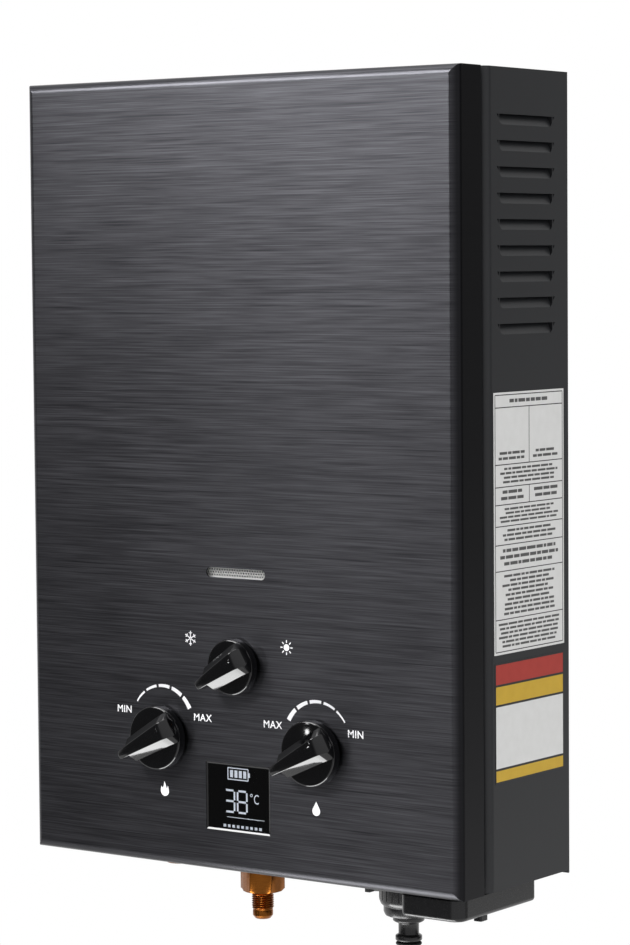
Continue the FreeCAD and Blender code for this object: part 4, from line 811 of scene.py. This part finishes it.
@dataclass
class Printing:
    """White screen printing on the cover: dial arcs, end words and plain pictograms.

    Attributes:
        level: The cover's face along y, in millimetres.
        ink: Signed thickness of the print.
        cap: Height of a capital letter.
        cap_share: Height of a capital letter in the font, as a share of its size.
        dials: Middle of each dial's arc, and -1 where it widens to the left.
        arc: Outer radius of an arc.
        arc_ends: Angles of its low and high end, in degrees.
        arc_gap: Gap between two segments, in degrees.
        arc_width: Width of its thin end, and how much it widens.
        segments: Segments in an arc.
    """

    level: float = -110.0
    ink: float = -0.04
    cap: float = 4.0
    cap_share: float = 0.69
    dials: tuple[tuple[float, float, int], ...] = ((-51.4, 79.1, 1), (54.8, 78.1, -1))
    arc: float = 22.7
    arc_ends: Point = (148.0, 29.0)
    arc_gap: float = 4.2
    arc_width: Point = (0.8, 1.9)
    segments: int = 5

    def make(self) -> None:
        """Prints every mark."""
        for name, (x, z), outlines in (
                ("dial_arcs", (0.0, 0.0), self._arcs()), ("pictogram_flame", (-51.0, 42.0), self._flame()),
                ("pictogram_drop", (54.2, 41.0), self._drop()), ("pictogram_sun", (35.0, 128.1), self._sun()),
                ("pictogram_snow", (-31.6, 129.0), self._snow())):
            placed = [[(x + u, z + v) for u, v in outline] for outline in outlines]
            mesh = lay_marks(name, placed, Side.FRONT, self.level, self.ink)
            make_piece(mesh, WHITE_INK)
        for name, word, x, z in (("word_gas_low", "MIN", -79.7, 85.6), ("word_gas_high", "MAX", -23.6, 84.8),
                                 ("word_water_high", "MAX", 25.1, 84.8),
                                 ("word_water_low", "MIN", 80.8, 83.9)):
            self._word(name, word, x, z)

    def _arcs(self) -> list[Outline]:
        """Segments that widen towards the high end of each dial.

        Returns:
            The segments' outlines.
        """
        outlines = []
        start, end = self.arc_ends
        thin, growth = self.arc_width
        sweep = (start - end - (self.segments - 1) * self.arc_gap) / self.segments
        shares = [step / 8 for step in range(9)]
        for x, z, way in self.dials:
            for i in range(self.segments):
                first = start - i * (sweep + self.arc_gap)
                edge = []
                for inner, path in ((False, shares), (True, shares[::-1])):
                    for share in path:
                        width = thin + growth * (i + share) / self.segments if inner else 0.0
                        u, v = polar(self.arc - width, math.radians(first - sweep * share))
                        edge.append((x + way * u, z + v))
                outlines.append(edge)
        return outlines

    def _curve(self, spots: Outline, steps: int = 6) -> Outline:
        """Smooth closed outline through a few points.

        Args:
            spots: Points it passes through.
            steps: Steps between two points.

        Returns:
            The outline.
        """
        out = []
        for i in range(len(spots)):
            p0, p1, p2, p3 = (Vector(spots[(i + k) % len(spots)]) for k in (-1, 0, 1, 2))
            for step in range(steps):
                t = step / steps
                spot = 0.5 * (2 * p1 + (p2 - p0) * t + (2 * p0 - 5 * p1 + 4 * p2 - p3) * t * t
                              + (3 * p1 - p0 - 3 * p2 + p3) * t ** 3)
                out.append((spot.x, spot.y))
        return out

    def _flame(self) -> list[Outline]:
        """Outline of a plain flame."""
        return [self._curve([(-0.2, -3.5), (1.7, -2.9), (2.7, -1.4), (2.6, 0.4), (2.1, 2.3), (1.3, 0.9),
                             (0.7, 2.4), (-0.3, 4.6), (-0.9, 2.5), (-1.9, 1.1), (-2.5, 2.0), (-3.0, -0.2),
                             (-2.6, -1.9), (-1.7, -3.0)])]

    def _drop(self) -> list[Outline]:
        """Outline of a plain drop."""
        bulb = [polar(2.6, math.radians(32 - i * (244 / 24))) for i in range(25)]
        return [[(0.0, 4.2)] + [(u, v - 1.1) for u, v in bulb]]

    def _sun(self) -> list[Outline]:
        """Outlines of a disc and its eight rays."""
        rays = [bar(*polar(2.6, a), *polar(4.1, a), 0.6) for a in (math.tau * i / 8 for i in range(8))]
        return [[polar(1.9, math.tau * i / 24) for i in range(24)]] + rays

    def _snow(self) -> list[Outline]:
        """Six arms with barbs.

        Returns:
            Their strokes.
        """
        strokes = []
        for i in range(6):
            angle = math.radians(90 + 60 * i)
            strokes.append(bar(*polar(0.3, angle), *polar(4.1, angle), 0.5))
            u, v = polar(2.5, angle)
            for lean in (-0.9, 0.9):
                du, dv = polar(1.3, angle + lean)
                strokes.append(bar(u, v, u + du, v + dv, 0.42))
        return strokes

    def _word(self, name: str, word: str, x: float, z: float) -> None:
        """Prints a short dial word centred on a point.

        Args:
            name: The piece's name.
            word: The letters.
            x: Its middle.
            z: Its middle height.
        """
        curve = bpy.data.curves.new(name, "FONT")
        curve.body = word
        curve.align_x = "CENTER"
        curve.align_y = "CENTER"
        curve.size = self.cap * MM / self.cap_share
        curve.space_character = 1.06
        curve.offset = 0.00004
        curve.extrude = abs(self.ink) * MM / 2
        holder = bpy.data.objects.new(name + "_outline", curve)
        bpy.context.scene.collection.objects.link(holder)
        holder.matrix_world = (Matrix.Translation(Vector((x, self.level + self.ink / 2, z)) * MM)
                               @ Matrix.Rotation(math.pi / 2, 4, "X"))
        bpy.context.view_layer.update()
        shape = holder.evaluated_get(bpy.context.evaluated_depsgraph_get())
        mesh = bpy.data.meshes.new_from_object(shape)
        mesh.name = name
        mesh.transform(holder.matrix_world)
        bpy.data.objects.remove(holder)
        bpy.data.curves.remove(curve)
        make_piece(mesh, WHITE_INK)


class Figure(Enum):
    """A digit of the display, with the upright segments that stay dark in it."""

    THREE = ("left_upper", "left_lower")
    EIGHT = ()


@dataclass
class Display:
    """Window, cell and the lit figures of the display.

    Attributes:
        cell_face: The cell's face along y, in millimetres.
        lift: Signed thickness of the figures.
        digits: Height of the digits' lowest and highest stroke.
        digit_wide: Distance between a digit's upright strokes.
        stroke: Width of a segment.
        shrink: How far a segment stops short of its corner.
        cut: Left, right, low and high edge of the cover's cut-out.
    """

    cell_face: float = -107.4
    lift: float = -0.05
    digits: Point = (33.6, 45.6)
    digit_wide: float = 6.4
    stroke: float = 1.15
    shrink: float = 0.62
    cut: tuple[float, float, float, float] = (-21.7, 22.9, 22.75, 61.05)

    def dress(self) -> None:
        """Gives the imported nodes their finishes."""
        cover_node("display_housing", GLOSS_ABS)
        cover_node("display_window", SMOKED_WINDOW)
        cover_node("display_cell", CELL_GLASS)
        cover_node("display_board", BOARD)

    def lip(self) -> None:
        """Makes the polished lip that slopes from the cover's cut-out down to the window."""
        build = bmesh.new()
        left, right, low, high = self.cut
        loops = []
        for inset, level in ((0.12, -109.25), (0.12, -109.85), (0.25, -109.9), (1.15, -109.4),
                             (1.15, -109.25)):
            outline = box_outline(left + inset, right - inset, low + inset, high - inset)
            loops.append([build.verts.new(flat_point(Side.FRONT, u, v, level)) for u, v in outline])
        join_rings(build, loops, closed=True)
        make_piece(mesh_of("display_lip", build), GLOSS_ABS)

    def figures(self) -> None:
        """Makes the battery gauge, two digits, a degree sign with C, a plain rule and a row of bars."""
        strokes = self._battery(-7.6, 51.8)
        strokes += self._digit(-9.6, Figure.THREE) + self._digit(-1.0, Figure.EIGHT)
        strokes += self._degree(8.6, 41.4)
        strokes.append(bar(-8.5, 30.6, 17.5, 30.6, 0.35))
        strokes += [bar(-11.0 + 3.1 * i, 25.6, -9.2 + 3.1 * i, 25.6, 1.6) for i in range(9)]
        mesh = lay_marks("display_figures", strokes, Side.FRONT, self.cell_face, self.lift)
        make_piece(mesh, SEGMENT)

    def _battery(self, x: float, z: float) -> list[Outline]:
        """A gauge outline with four cells.

        Args:
            x: Its left end.
            z: Its lower edge.

        Returns:
            Its strokes.
        """
        long, tall, line, wall = 14.0, 6.4, 0.6, 1.2
        strokes = [bar(x, z, x + long, z, line), bar(x, z + tall, x + long, z + tall, line),
                   bar(x, z, x, z + tall, line), bar(x + long, z, x + long, z + tall, line),
                   box_outline(x + long + 0.3, x + long + 1.3, z + tall * 0.3, z + tall * 0.7)]
        for i in range(4):
            u = x + 1.5 + 3.05 * i
            strokes.append(box_outline(u, u + 2.1, z + wall, z + tall - wall))
        return strokes

    def _digit(self, x: float, figure: Figure) -> list[Outline]:
        """Seven-segment digit.

        Args:
            x: Its left edge.
            figure: Which digit it shows.

        Returns:
            The segments that are lit.
        """
        (low, high), short = self.digits, self.shrink
        middle, right = (low + high) / 2, x + self.digit_wide
        flat = {"top": high, "mid": middle, "low": low}
        upright = {"right_upper": (right, middle, high), "right_lower": (right, low, middle),
                   "left_upper": (x, middle, high), "left_lower": (x, low, middle)}
        lit = [bar(x + short, v, right - short, v, self.stroke) for v in flat.values()]
        lit += [bar(u, foot + short, u, head - short, self.stroke)
                for name, (u, foot, head) in upright.items() if name not in figure.value]
        return lit

    def _degree(self, x: float, z: float) -> list[Outline]:
        """Small ring and a C.

        Args:
            x: The ring's middle.
            z: Height that both stand on.

        Returns:
            Their outlines, in short steps.
        """
        steps_of = []
        for (u, v), (wide, tall), hollow, start, sweep, steps in (
                ((x, z + 2.6), (0.9, 0.9), 5 / 9, 0, 360, 16),
                ((x + 3.9, z + 0.6), (2.1, 2.7), 0.74, 50, 260, 12)):
            edges = [math.radians(start + sweep * i / steps) for i in range(steps + 1)]
            for a0, a1 in zip(edges, edges[1:]):
                steps_of.append([(u + wide * r * math.cos(a), v + tall * r * math.sin(a)) for r, a in (
                    (1.0, a0), (1.0, a1), (hollow, a1), (hollow, a0))])
        return steps_of


@dataclass
class Knob:
    """A round knob with a grip bar: rounded rim, domed face, soft crest and flared walls.

    Attributes:
        node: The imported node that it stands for.
        body: The body that it turns with.
        x: Its axis along the front, in millimetres.
        z: Its axis's height.
        radius: The disc's radius.
        reach: How far the bar's tip stands from the axis.
        angle: The bar's lean at rest, in degrees.
        front: The cover's face along y.
        gap: Gap between the cover and the disc.
        foot_bevel: Bevel of the disc's foot.
        face: Height of the disc's face at its edge.
        dome: How far the face rises to its middle.
        rim: Radius of the disc's rounded rim.
        bore: Radius of the spindle's bore.
        crest: Height of the bar.
        tip: Half the bar's width at its tip.
        tail: Half its width at its tail.
        crest_round: Radius between the crest and the walls.
        wall: Height of the flared walls.
        wall_lean: Their lean in degrees.
        roll: Length over which the tail rolls down to the disc.
    """

    node: str
    body: str
    x: float
    z: float
    radius: float
    reach: float
    angle: float
    front: float = -110.0
    gap: float = 0.8
    foot_bevel: float = 0.8
    face: float = 7.0
    dome: float = 0.7
    rim: float = 1.2
    bore: float = 2.6
    crest: float = 15.0
    tip: float = 2.5
    tail: float = 5.6
    crest_round: float = 0.75
    wall: float = 4.4
    wall_lean: float = 48.0
    roll: float = 7.6

    def make(self) -> None:
        """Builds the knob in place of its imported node."""
        build = bmesh.new()
        build.from_mesh(self._disc())
        self._bar(build)
        mesh = mesh_of(self.node + "_moulded", build, 24)
        piece = make_piece(mesh, GLOSS_ABS, self.body)
        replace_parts(piece, self.node)

    def _disc(self) -> bpy.types.Mesh:
        """Disc with a bevelled foot, a rounded rim, a slightly domed face and the bore for its spindle.

        Returns:
            The mesh.
        """
        edge, inner, floor = self.radius, self.radius - self.rim, self.face + 0.2
        profile = [(self.bore, self.gap), (edge - self.foot_bevel, self.gap),
                   (edge, self.gap + self.foot_bevel)]
        for step in range(7):
            u, v = polar(self.rim, math.pi / 2 * step / 6)
            profile.append((inner + u, self.face - self.rim + v))
        profile += [(inner * (1 - share), self.face + self.dome * (1 - (1 - share) ** 2))
                    for share in (0.12, 0.25, 0.4, 0.55, 0.7, 0.85)]
        profile += [(0.01, self.face + self.dome), (0.01, floor), (self.bore, floor)]
        return lathe("disc", profile, Vector((self.x, self.front, self.z)), Vector((0, -1, 0)), 96)

    def _marks(self) -> tuple[float, float, float, float]:
        """Places along the bar: tip, tail, where its walls flare out and where the tail rolls down."""
        return -self.reach, self.radius - 0.4, 1.6 - self.radius, self.radius - 8.0

    def _bar(self, build: Build) -> None:
        """Lofts the grip bar from its overhanging tip to the tail that rolls down to the disc.

        Args:
            build: The bmesh that takes it.
        """
        start, _, shoulder, roll_from = self._marks()
        stations = [start + at for at in (0.0, 0.2, 0.5, 1.0)]
        stations += [shoulder + at for at in (-0.4, 0.0, 0.5, 1.0)]
        run = roll_from - shoulder - 1.0
        stations += [shoulder + 1.0 + run * i / 6 for i in range(1, 7)]
        stations += [roll_from + self.roll * math.sin(math.pi / 2 * i / 12) for i in range(1, 13)]
        loops = [self._section(build, s) for s in stations]
        build.faces.new(loops[0])
        build.faces.new(loops[-1])
        join_rings(build, loops)

    def _section(self, build: Build, s: float) -> Ring:
        """Adds one section across the bar.

        Args:
            build: The bmesh that takes it.
            s: Its place along the bar.

        Returns:
            The section's points in order.
        """
        start, end, shoulder, roll_from = self._marks()
        half = self.tip + (self.tail - self.tip) * ((s - start) / (end - start))
        top, sunk = self.crest, 0.3
        from_tip = s - start
        if from_tip < 1.0:
            drop = 1.0 - math.sqrt(1 - (1 - from_tip) ** 2)
            half -= 0.9 * drop
            top -= 0.8 * drop
        rolled = max(0.0, (s - roll_from) / self.roll)
        top -= (self.crest - self.face - sunk) * (1 - math.sqrt(max(0.0, 1 - rolled ** 2)))
        if s > 0:
            half = min(half, self._chord(s, 3.0) - 0.6)
        flare = min(1.0, max(0.0, (s - shoulder) / 0.5))
        steep = math.radians(90 - (90 - self.wall_lean) * flare)
        soft = self.crest_round
        peak, span, sag = 5.0, 18.0, 0.6
        top -= sag * ((s - peak) / span) ** 2
        points = [((half - soft) * k / 6, top + sunk * (1 - (k / 6) ** 2)) for k in range(6)]
        for step in range(6):
            turn = steep * step / 5
            points.append((half - soft + soft * math.sin(turn), top - soft + soft * math.cos(turn)))
        out_v, out_h = points[-1]
        fall = min(self.wall, max(top - soft - self.face - sunk, 0.3))
        limit = self._chord(s, 2.0) - 0.5 if flare else math.inf
        foot_v = min(out_v + fall / math.tan(steep), max(limit, out_v))
        points += [(foot_v, out_h - fall), (foot_v, self.face - 0.6 if flare else 7.6)]
        loop = points + [(-v, h) for v, h in reversed(points[1:])]
        c, sn = polar(1.0, math.radians(self.angle))
        spots = [Vector((self.x + s * c - v * sn, self.front - h, self.z + s * sn + v * c)) for v, h in loop]
        return [build.verts.new(spot * MM) for spot in spots]

    def _chord(self, s: float, least: float) -> float:
        """Half the disc's width at a place along the bar, at least as given."""
        return math.sqrt(max(self.radius ** 2 - s ** 2, least ** 2))


@dataclass
class Controls:
    """Knobs and what they turn."""

    knobs: tuple[Knob, ...] = (
        Knob("gas_knob", "gas_regulator", -53.0, 72.0, 18.0, 23.5, 28.0),
        Knob("water_knob", "water_regulator", 53.3, 72.0, 18.0, 23.5, 28.0),
        Knob("season_knob", "season_selector", 0.6, 115.5, 15.5, 21.5, 31.0))

    def make(self) -> None:
        """Makes the knobs and dresses the spindles behind them."""
        for knob in self.knobs:
            knob.make()
        for name in ("gas_spindle", "water_spindle", "season_spindle", "spindle_bonnets"):
            cover_node(name, BRASS)


@dataclass
class Connections:
    """Gas, water and drain fittings below the casing.

    Attributes:
        gas: The gas inlet's axis, in millimetres.
        water: The water inlet's axis.
        hot: The hot water outlet's axis.
        rib: Half angle between two points of a grip rib, and its height over the nut.
    """

    gas: Vector = field(default_factory=lambda: Vector((-22.0, -58.0, 0.0)))
    water: Vector = field(default_factory=lambda: Vector((79.0, -58.0, 0.0)))
    hot: Vector = field(default_factory=lambda: Vector((-104.0, -28.5, 0.0)))
    rib: Point = (0.028, 0.6)

    def dress(self) -> None:
        """Gives the carried-over fittings their finishes."""
        for name in ("water_inlet_stub", "drain_valve_body"):
            cover_node(name, BRASS)
        cover_node("drain_cock", MATTE_ABS)

    def gas_inlet(self) -> None:
        """Brass inlet: chamfered hexagon, true thread and flare nose."""
        build = bmesh.new()
        nose = [(3, -36.5), (4.2, -36.5), (4.5, -36.3), (5.8, -34.6), (5.8, -31.9), (5.4, -31.2), (3, -31.2)]
        shank = [(3, -21.6), (5.5, -21.6), (5.5, -20.6), (10, -20.5), (10, -3), (8.5, -3), (8.5, 14), (3, 14)]
        thread = threaded("thread", -21.6, -31.3, 6.35, 3.0, 1.27, self.gas)
        for part in (lathe("nose", nose, self.gas), thread, lathe("shank", shank, self.gas)):
            build.from_mesh(part)
        self._hexagon(build, self.gas, -20.5, -6.5, 11.0, 9.5)
        piece = make_piece(mesh_of("gas_inlet_threaded", build, 35), BRASS)
        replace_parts(piece, "gas_inlet")

    def hot_outlet(self) -> None:
        """Hot water outlet with its pipe thread."""
        build = bmesh.new()
        shank = [(7, -1), (9.4, -1), (9.4, 0.8), (11.5, 0.8), (11.5, 10), (8, 11), (8, 30), (4, 30), (4, 11),
                 (7, 9)]
        for part in (threaded("hot_thread", -1.0, -17.0, 10.45, 7.0, 1.814, self.hot),
                     lathe("hot_shank", shank, self.hot)):
            build.from_mesh(part)
        self._hexagon(build, self.hot, 0.8, 9.8, 13.5, 9.0)
        piece = make_piece(mesh_of("hot_outlet_threaded", build, 35), BRASS)
        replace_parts(piece, "hot_outlet")

    def water_inlet(self) -> None:
        """Union nut with moulded grips, hose spigot and its sealing ring."""
        around, ribs = 72, 24
        nut = [(8, -23.5), (10.9, -23.5), (13.0, -22.6), (13.9, -20.6), (13.9, -17.6), (15.4, -16.2),
               (16.2, -14.2), (16.2, -2.2), (15.2, -1), (8, -1)]
        build = bmesh.new()
        build.from_mesh(lathe("union", nut, self.water, segments=around))
        for i in range(ribs):
            self._rib(build, self.water, math.tau * i / ribs, 16.15, -13.6, -2.8)
        piece = make_piece(mesh_of("union_nut_ribbed", build, 35), NYLON)
        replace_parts(piece, "union_nut")
        spigot = lathe("hose_spigot_moulded", [
            (4.5, -55), (5.4, -55), (5.9, -54.7), (6.4, -53.8), (6.4, -44), (7.2, -43.4), (7.4, -43.0),
            (7.4, -41.0), (7.2, -40.7), (6.0, -40.0), (5.9, -39.6), (5.9, -38.0), (6.0, -37.6), (7.2, -36.9),
            (7.4, -36.6), (7.4, -34.6), (7.2, -34.3), (5.8, -33.4), (5.7, -33.0), (5.7, -28.0), (5.9, -27.4),
            (8, -26.4), (8.6, -26.0), (8.8, -25.6), (8.8, -23.5), (4.5, -23.5)], self.water, segments=around)
        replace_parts(make_piece(spigot, NYLON), "hose_spigot")
        groove, depth, half = 5.95, 1.3, 0.72
        ring = [polar(1.0, math.tau * i / 16) for i in range(16)]
        section = [(groove + depth * (1 + c) / 2, -38.8 + half * s) for c, s in ring]
        make_piece(lathe("spigot_seal", section, self.water), RUBBER)

    def _hexagon(self, build: Build, foot: Vector, low: float, high: float, flat: float,
                 bore: float) -> None:
        """Adds a hexagon with chamfered corners round a bore.

        Args:
            build: The bmesh that takes it.
            foot: The fitting's axis, in millimetres.
            low: Its lower face.
            high: Its upper face.
            flat: Distance from the axis to a flat.
            bore: Its inner radius.
        """
        around, sixth, chamfer = 96, math.pi / 6, 1.4
        corner = flat / math.cos(sixth)
        blunt = flat * 0.97 + (corner - flat) * 0.35
        turns = [(math.tau * i / around + sixth) % (2 * sixth) - sixth for i in range(around)]
        sides = [flat / math.cos(turn) for turn in turns]
        rings = [add_ring(build, foot, [min(reach, limit) for reach in sides], height) for height, limit in (
            (low, blunt), (low + chamfer, corner), (high - chamfer, corner), (high, blunt))]
        rings += [add_ring(build, foot, [bore] * around, height) for height in (high, low)]
        join_rings(build, rings, closed=True)

    def _rib(self, build: Build, foot: Vector, angle: float, radius: float, low: float,
             high: float) -> None:
        """Adds one upright grip rib.

        Args:
            build: The bmesh that takes it.
            foot: The nut's axis, in millimetres.
            angle: Where it stands.
            radius: The nut's own radius.
            low: Its foot.
            high: Its top.
        """
        spread, proud = self.rib
        ends = []
        for height in (low, high):
            section = [polar(radius - 0.35 + proud * math.cos(step * math.pi / 4.6), angle + step * spread)
                       for step in range(-2, 3)]
            ends.append([build.verts.new((foot + Vector((u, v, height))) * MM) for u, v in section])
            build.faces.new(ends[-1])
        join_rings(build, ends)


@dataclass
class BatteryBox:
    """Battery tray, cells and hinged lid."""

    plastic: tuple[str, ...] = ("battery_tray", "battery_lid")
    steel: tuple[str, ...] = ("battery_contacts", "lid_contact", "battery_cells")

    def dress(self) -> None:
        """Gives tray, lid, contacts and cells their finishes."""
        for finish, names in ((SATIN_ABS, self.plastic), (ZINC_STEEL, self.steel)):
            for name in names:
                cover_node(name, finish)


@dataclass
class Inside:
    """Everything inside the casing."""

    finishes: tuple[tuple[Finish, tuple[str, ...]], ...] = (
        (CAST_ALUMINIUM, ("gas_valve_body", "selector_valve_body", "water_valve_body", "water_valve_cover",
                          "gas_manifold")),
        (ZINC_STEEL, ("gas_solenoid", "valve_screws", "linkage_rod", "switch_lever", "switch_bracket",
                      "flue_hood", "burner_bars", "burner_tray", "electrode_bracket", "inner_brackets",
                      "overheat_cutout")),
        (COPPER, ("gas_pipes", "exchanger_coil", "hot_pipe", "fire_box", "fin_block", "return_bends")),
        (MATTE_ABS, ("microswitch", "switch_button", "control_box", "water_sensor")),
        (RUBBER, ("diaphragm",)), (BRASS, ("gas_injectors",)), (CERAMIC, ("electrodes",)))

    def dress(self) -> None:
        """Gives the inner nodes their finishes."""
        for finish, names in self.finishes:
            for name in names:
                cover_node(name, finish)


@dataclass(frozen=True)
class Lamp:
    """A soft box.

    Attributes:
        name: Its name.
        place: Where it hangs, in metres.
        aim: The point that it faces.
        size: Its width and height.
        power: Its power in watts.
        mirrored: Whether glossy faces show it.
    """

    name: str
    place: Place
    aim: Place
    size: Point
    power: float
    mirrored: bool

    def hang(self) -> None:
        """Puts the lamp in the scene."""
        data = bpy.data.lights.new(self.name, "AREA")
        data.shape = "RECTANGLE"
        data.size, data.size_y = self.size
        data.energy = self.power
        lamp = bpy.data.objects.new(self.name, data)
        bpy.context.scene.collection.objects.link(lamp)
        lamp.location = self.place
        lamp.visible_glossy = self.mirrored
        lamp.visible_camera = False
        lamp.rotation_euler = (Vector(self.aim) - Vector(self.place)).to_track_quat("-Z", "Y").to_euler()


@dataclass
class Studio:
    """Camera at the photograph's angle, soft boxes, pale floor and backdrop.

    Attributes:
        eye: The camera's place, in metres.
        yaw: Its turn to the right, in degrees.
        pitch: Its tilt down.
        roll: Its lean.
        focal_px: Its focal length in pixels of the photograph.
        floor_z: The floor's height.
        flag_axis: The line that the flat faces mirror, kept dark at both ends.
        flag_edge: Where the dark begins and is full, as a cosine.
        rise: The world's strength at the horizon and overhead.
        pale: Strength added away from the dark ends.
        lamps: The soft boxes.
    """

    eye: Vector = field(default_factory=lambda: Vector((1.0524, -1.4798, 0.3368)))
    yaw: float = 36.055
    pitch: float = 3.795
    roll: float = -0.462
    focal_px: float = 3148.9
    floor_z: float = -0.42
    flag_axis: Place = (0.587, 0.810, 0.0)
    flag_edge: Point = (0.78, 0.93)
    rise: Point = (0.10, 0.35)
    pale: float = 0.5
    lamps: tuple[Lamp, ...] = (
        Lamp("high_strip", (-0.70, -1.08, 0.97), (0.0, -0.11, 0.36), (0.65, 0.4), 15.5, True),
        Lamp("top_fill", (-0.4, -0.5, 1.9), (0.0, -0.1, 0.3), (1.0, 0.9), 8.0, True),
        Lamp("side_fill", (2.1, -0.25, 0.9), (0.14, -0.05, 0.2), (0.7, 1.4), 12.0, False),
        Lamp("front_fill", (0.35, -2.3, 0.9), (0.0, -0.1, 0.1), (0.9, 0.9), 3.0, False),
        Lamp("low_strip", (-0.06, -0.27, -0.40), (-0.06, -0.27, 0.1), (0.5, 0.26), 4.0, True),
        Lamp("spot_high", (-0.92, -1.48, 0.14), (0.0, -0.12, 0.08), (0.04, 0.04), 0.13, True),
        Lamp("spot_low", (-0.92, -1.48, 0.0), (0.0, -0.12, 0.08), (0.04, 0.04), 0.13, True),
        Lamp("back_fill", (-0.8, 1.8, 1.4), (0.0, 0.0, 0.2), (1.4, 1.0), 6.0, False))

    def camera(self) -> None:
        """Sets the camera whose picture is as tall as the photograph."""
        data = bpy.data.cameras.new("camera")
        data.sensor_width = 36.0
        data.lens = self.focal_px * data.sensor_width / PHOTO_HEIGHT
        camera = bpy.data.objects.new("camera", data)
        bpy.context.scene.collection.objects.link(camera)
        yaw, pitch, roll = (math.radians(a) for a in (self.yaw, self.pitch, self.roll))
        forward = Vector((-math.sin(yaw) * math.cos(pitch), math.cos(yaw) * math.cos(pitch),
                          -math.sin(pitch)))
        right = Vector((math.cos(yaw), math.sin(yaw), 0))
        up = right.cross(forward)
        turned_right = math.cos(roll) * right + math.sin(roll) * up
        turned_up = -math.sin(roll) * right + math.cos(roll) * up
        turn = Matrix((turned_right, turned_up, -forward)).transposed()
        camera.matrix_world = Matrix.Translation(self.eye) @ turn.to_4x4()
        bpy.context.scene.camera = camera

    def world(self) -> None:
        """Lights softly from all round, with a black flag at each end of the line that flat faces mirror."""
        world = bpy.data.worlds.new("studio")
        bpy.context.scene.world = world
        world.use_nodes = True
        tree = world.node_tree
        ground = tree.nodes["Background"]
        ground.inputs["Color"].default_value = (0.98, 0.98, 1.0, 1)
        place = add_node(tree, "ShaderNodeTexCoord")
        parts = add_node(tree, "ShaderNodeSeparateXYZ", links={0: place.outputs["Generated"]})
        rise = add_node(tree, "ShaderNodeMapRange", values={"To Min": self.rise[0], "To Max": self.rise[1]},
                        links={"Value": parts.outputs["Z"]})
        along = add_node(tree, "ShaderNodeVectorMath", {"operation": "DOT_PRODUCT"}, {1: self.flag_axis},
                         {0: place.outputs["Generated"]})
        reach = add_node(tree, "ShaderNodeMath", {"operation": "ABSOLUTE"}, links={0: along.outputs["Value"]})
        pale = add_node(tree, "ShaderNodeMapRange", values={
            "From Min": self.flag_edge[0], "From Max": self.flag_edge[1], "To Min": self.pale, "To Max": 0.0},
            links={"Value": reach.outputs[0]})
        both = add_node(tree, "ShaderNodeMath", {"operation": "ADD"},
                        links={0: rise.outputs["Result"], 1: pale.outputs["Result"]})
        tree.links.new(both.outputs[0], ground.inputs["Strength"])

    def _show_white(self, tree: Tree, lit: Socket, out: Socket) -> None:
        """Shows plain white to rays from the camera, in mirrors and through glass.

        Args:
            tree: The node tree.
            lit: The surface that other rays meet.
            out: The output's socket.
        """
        white = add_node(tree, "ShaderNodeEmission", values={"Color": (1, 1, 1, 1), "Strength": 1.0})
        path = add_node(tree, "ShaderNodeLightPath")
        seen = path.outputs["Is Camera Ray"]
        for name in ("Is Glossy Ray", "Is Transmission Ray"):
            seen = add_node(tree, "ShaderNodeMath", {"operation": "MAXIMUM"},
                            links={0: seen, 1: path.outputs[name]}).outputs[0]
        mix = add_node(tree, "ShaderNodeMixShader", links={0: seen, 1: lit, 2: white.outputs[0]})
        tree.links.new(mix.outputs[0], out)

    def stage(self) -> None:
        """Lays a pale floor with a curved rise into the backdrop."""
        build = bmesh.new()
        left, right, near, bend_from, rise, radius, steps = -4.5, 1.3, -0.75, 2.0, 3.2, 1.0, 12
        turns = [math.pi / 2 * i / steps for i in range(steps + 1)]
        rows = [(near, 0.0)]
        rows += [(bend_from + radius * math.sin(turn), radius * (1 - math.cos(turn))) for turn in turns]
        rows.append((bend_from + radius, rise))
        lines = [[build.verts.new((x, y, self.floor_z + z)) for x in (left, right)] for y, z in rows]
        for a, b in zip(lines, lines[1:]):
            build.faces.new((a[0], a[1], b[1], b[0]))
        sweep = bpy.data.objects.new("studio_sweep", mesh_of("studio_sweep", build, 60))
        bpy.context.scene.collection.objects.link(sweep)
        paper = bpy.data.materials.new("sweep_paper")
        paper.use_nodes = True
        tree = paper.node_tree
        shader = tree.nodes["Principled BSDF"]
        shader.inputs["Base Color"].default_value = (0.8, 0.8, 0.8, 1)
        shader.inputs["Roughness"].default_value = 0.9
        self._show_white(tree, shader.outputs[0], tree.nodes["Material Output"].inputs["Surface"])
        sweep.data.materials.append(paper)

    def build(self) -> None:
        """Sets up the whole studio."""
        self.camera()
        for lamp in self.lamps:
            lamp.hang()
        self.world()
        self.stage()
        bpy.context.scene.view_settings.view_transform = "Standard"


def main() -> None:
    """Builds every sub-assembly in order."""
    logging.basicConfig(level=logging.INFO, format="%(name)s %(message)s")
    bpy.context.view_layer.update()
    casing = Casing()
    casing.dress()
    casing.screws()
    casing.labels()
    SightSlot().make()
    Printing().make()
    display = Display()
    display.dress()
    display.lip()
    display.figures()
    Controls().make()
    connections = Connections()
    connections.dress()
    connections.gas_inlet()
    connections.hot_outlet()
    connections.water_inlet()
    BatteryBox().dress()
    Inside().dress()
    Studio().build()
    bpy.context.view_layer.update()


if __name__ == "__main__":
    main()
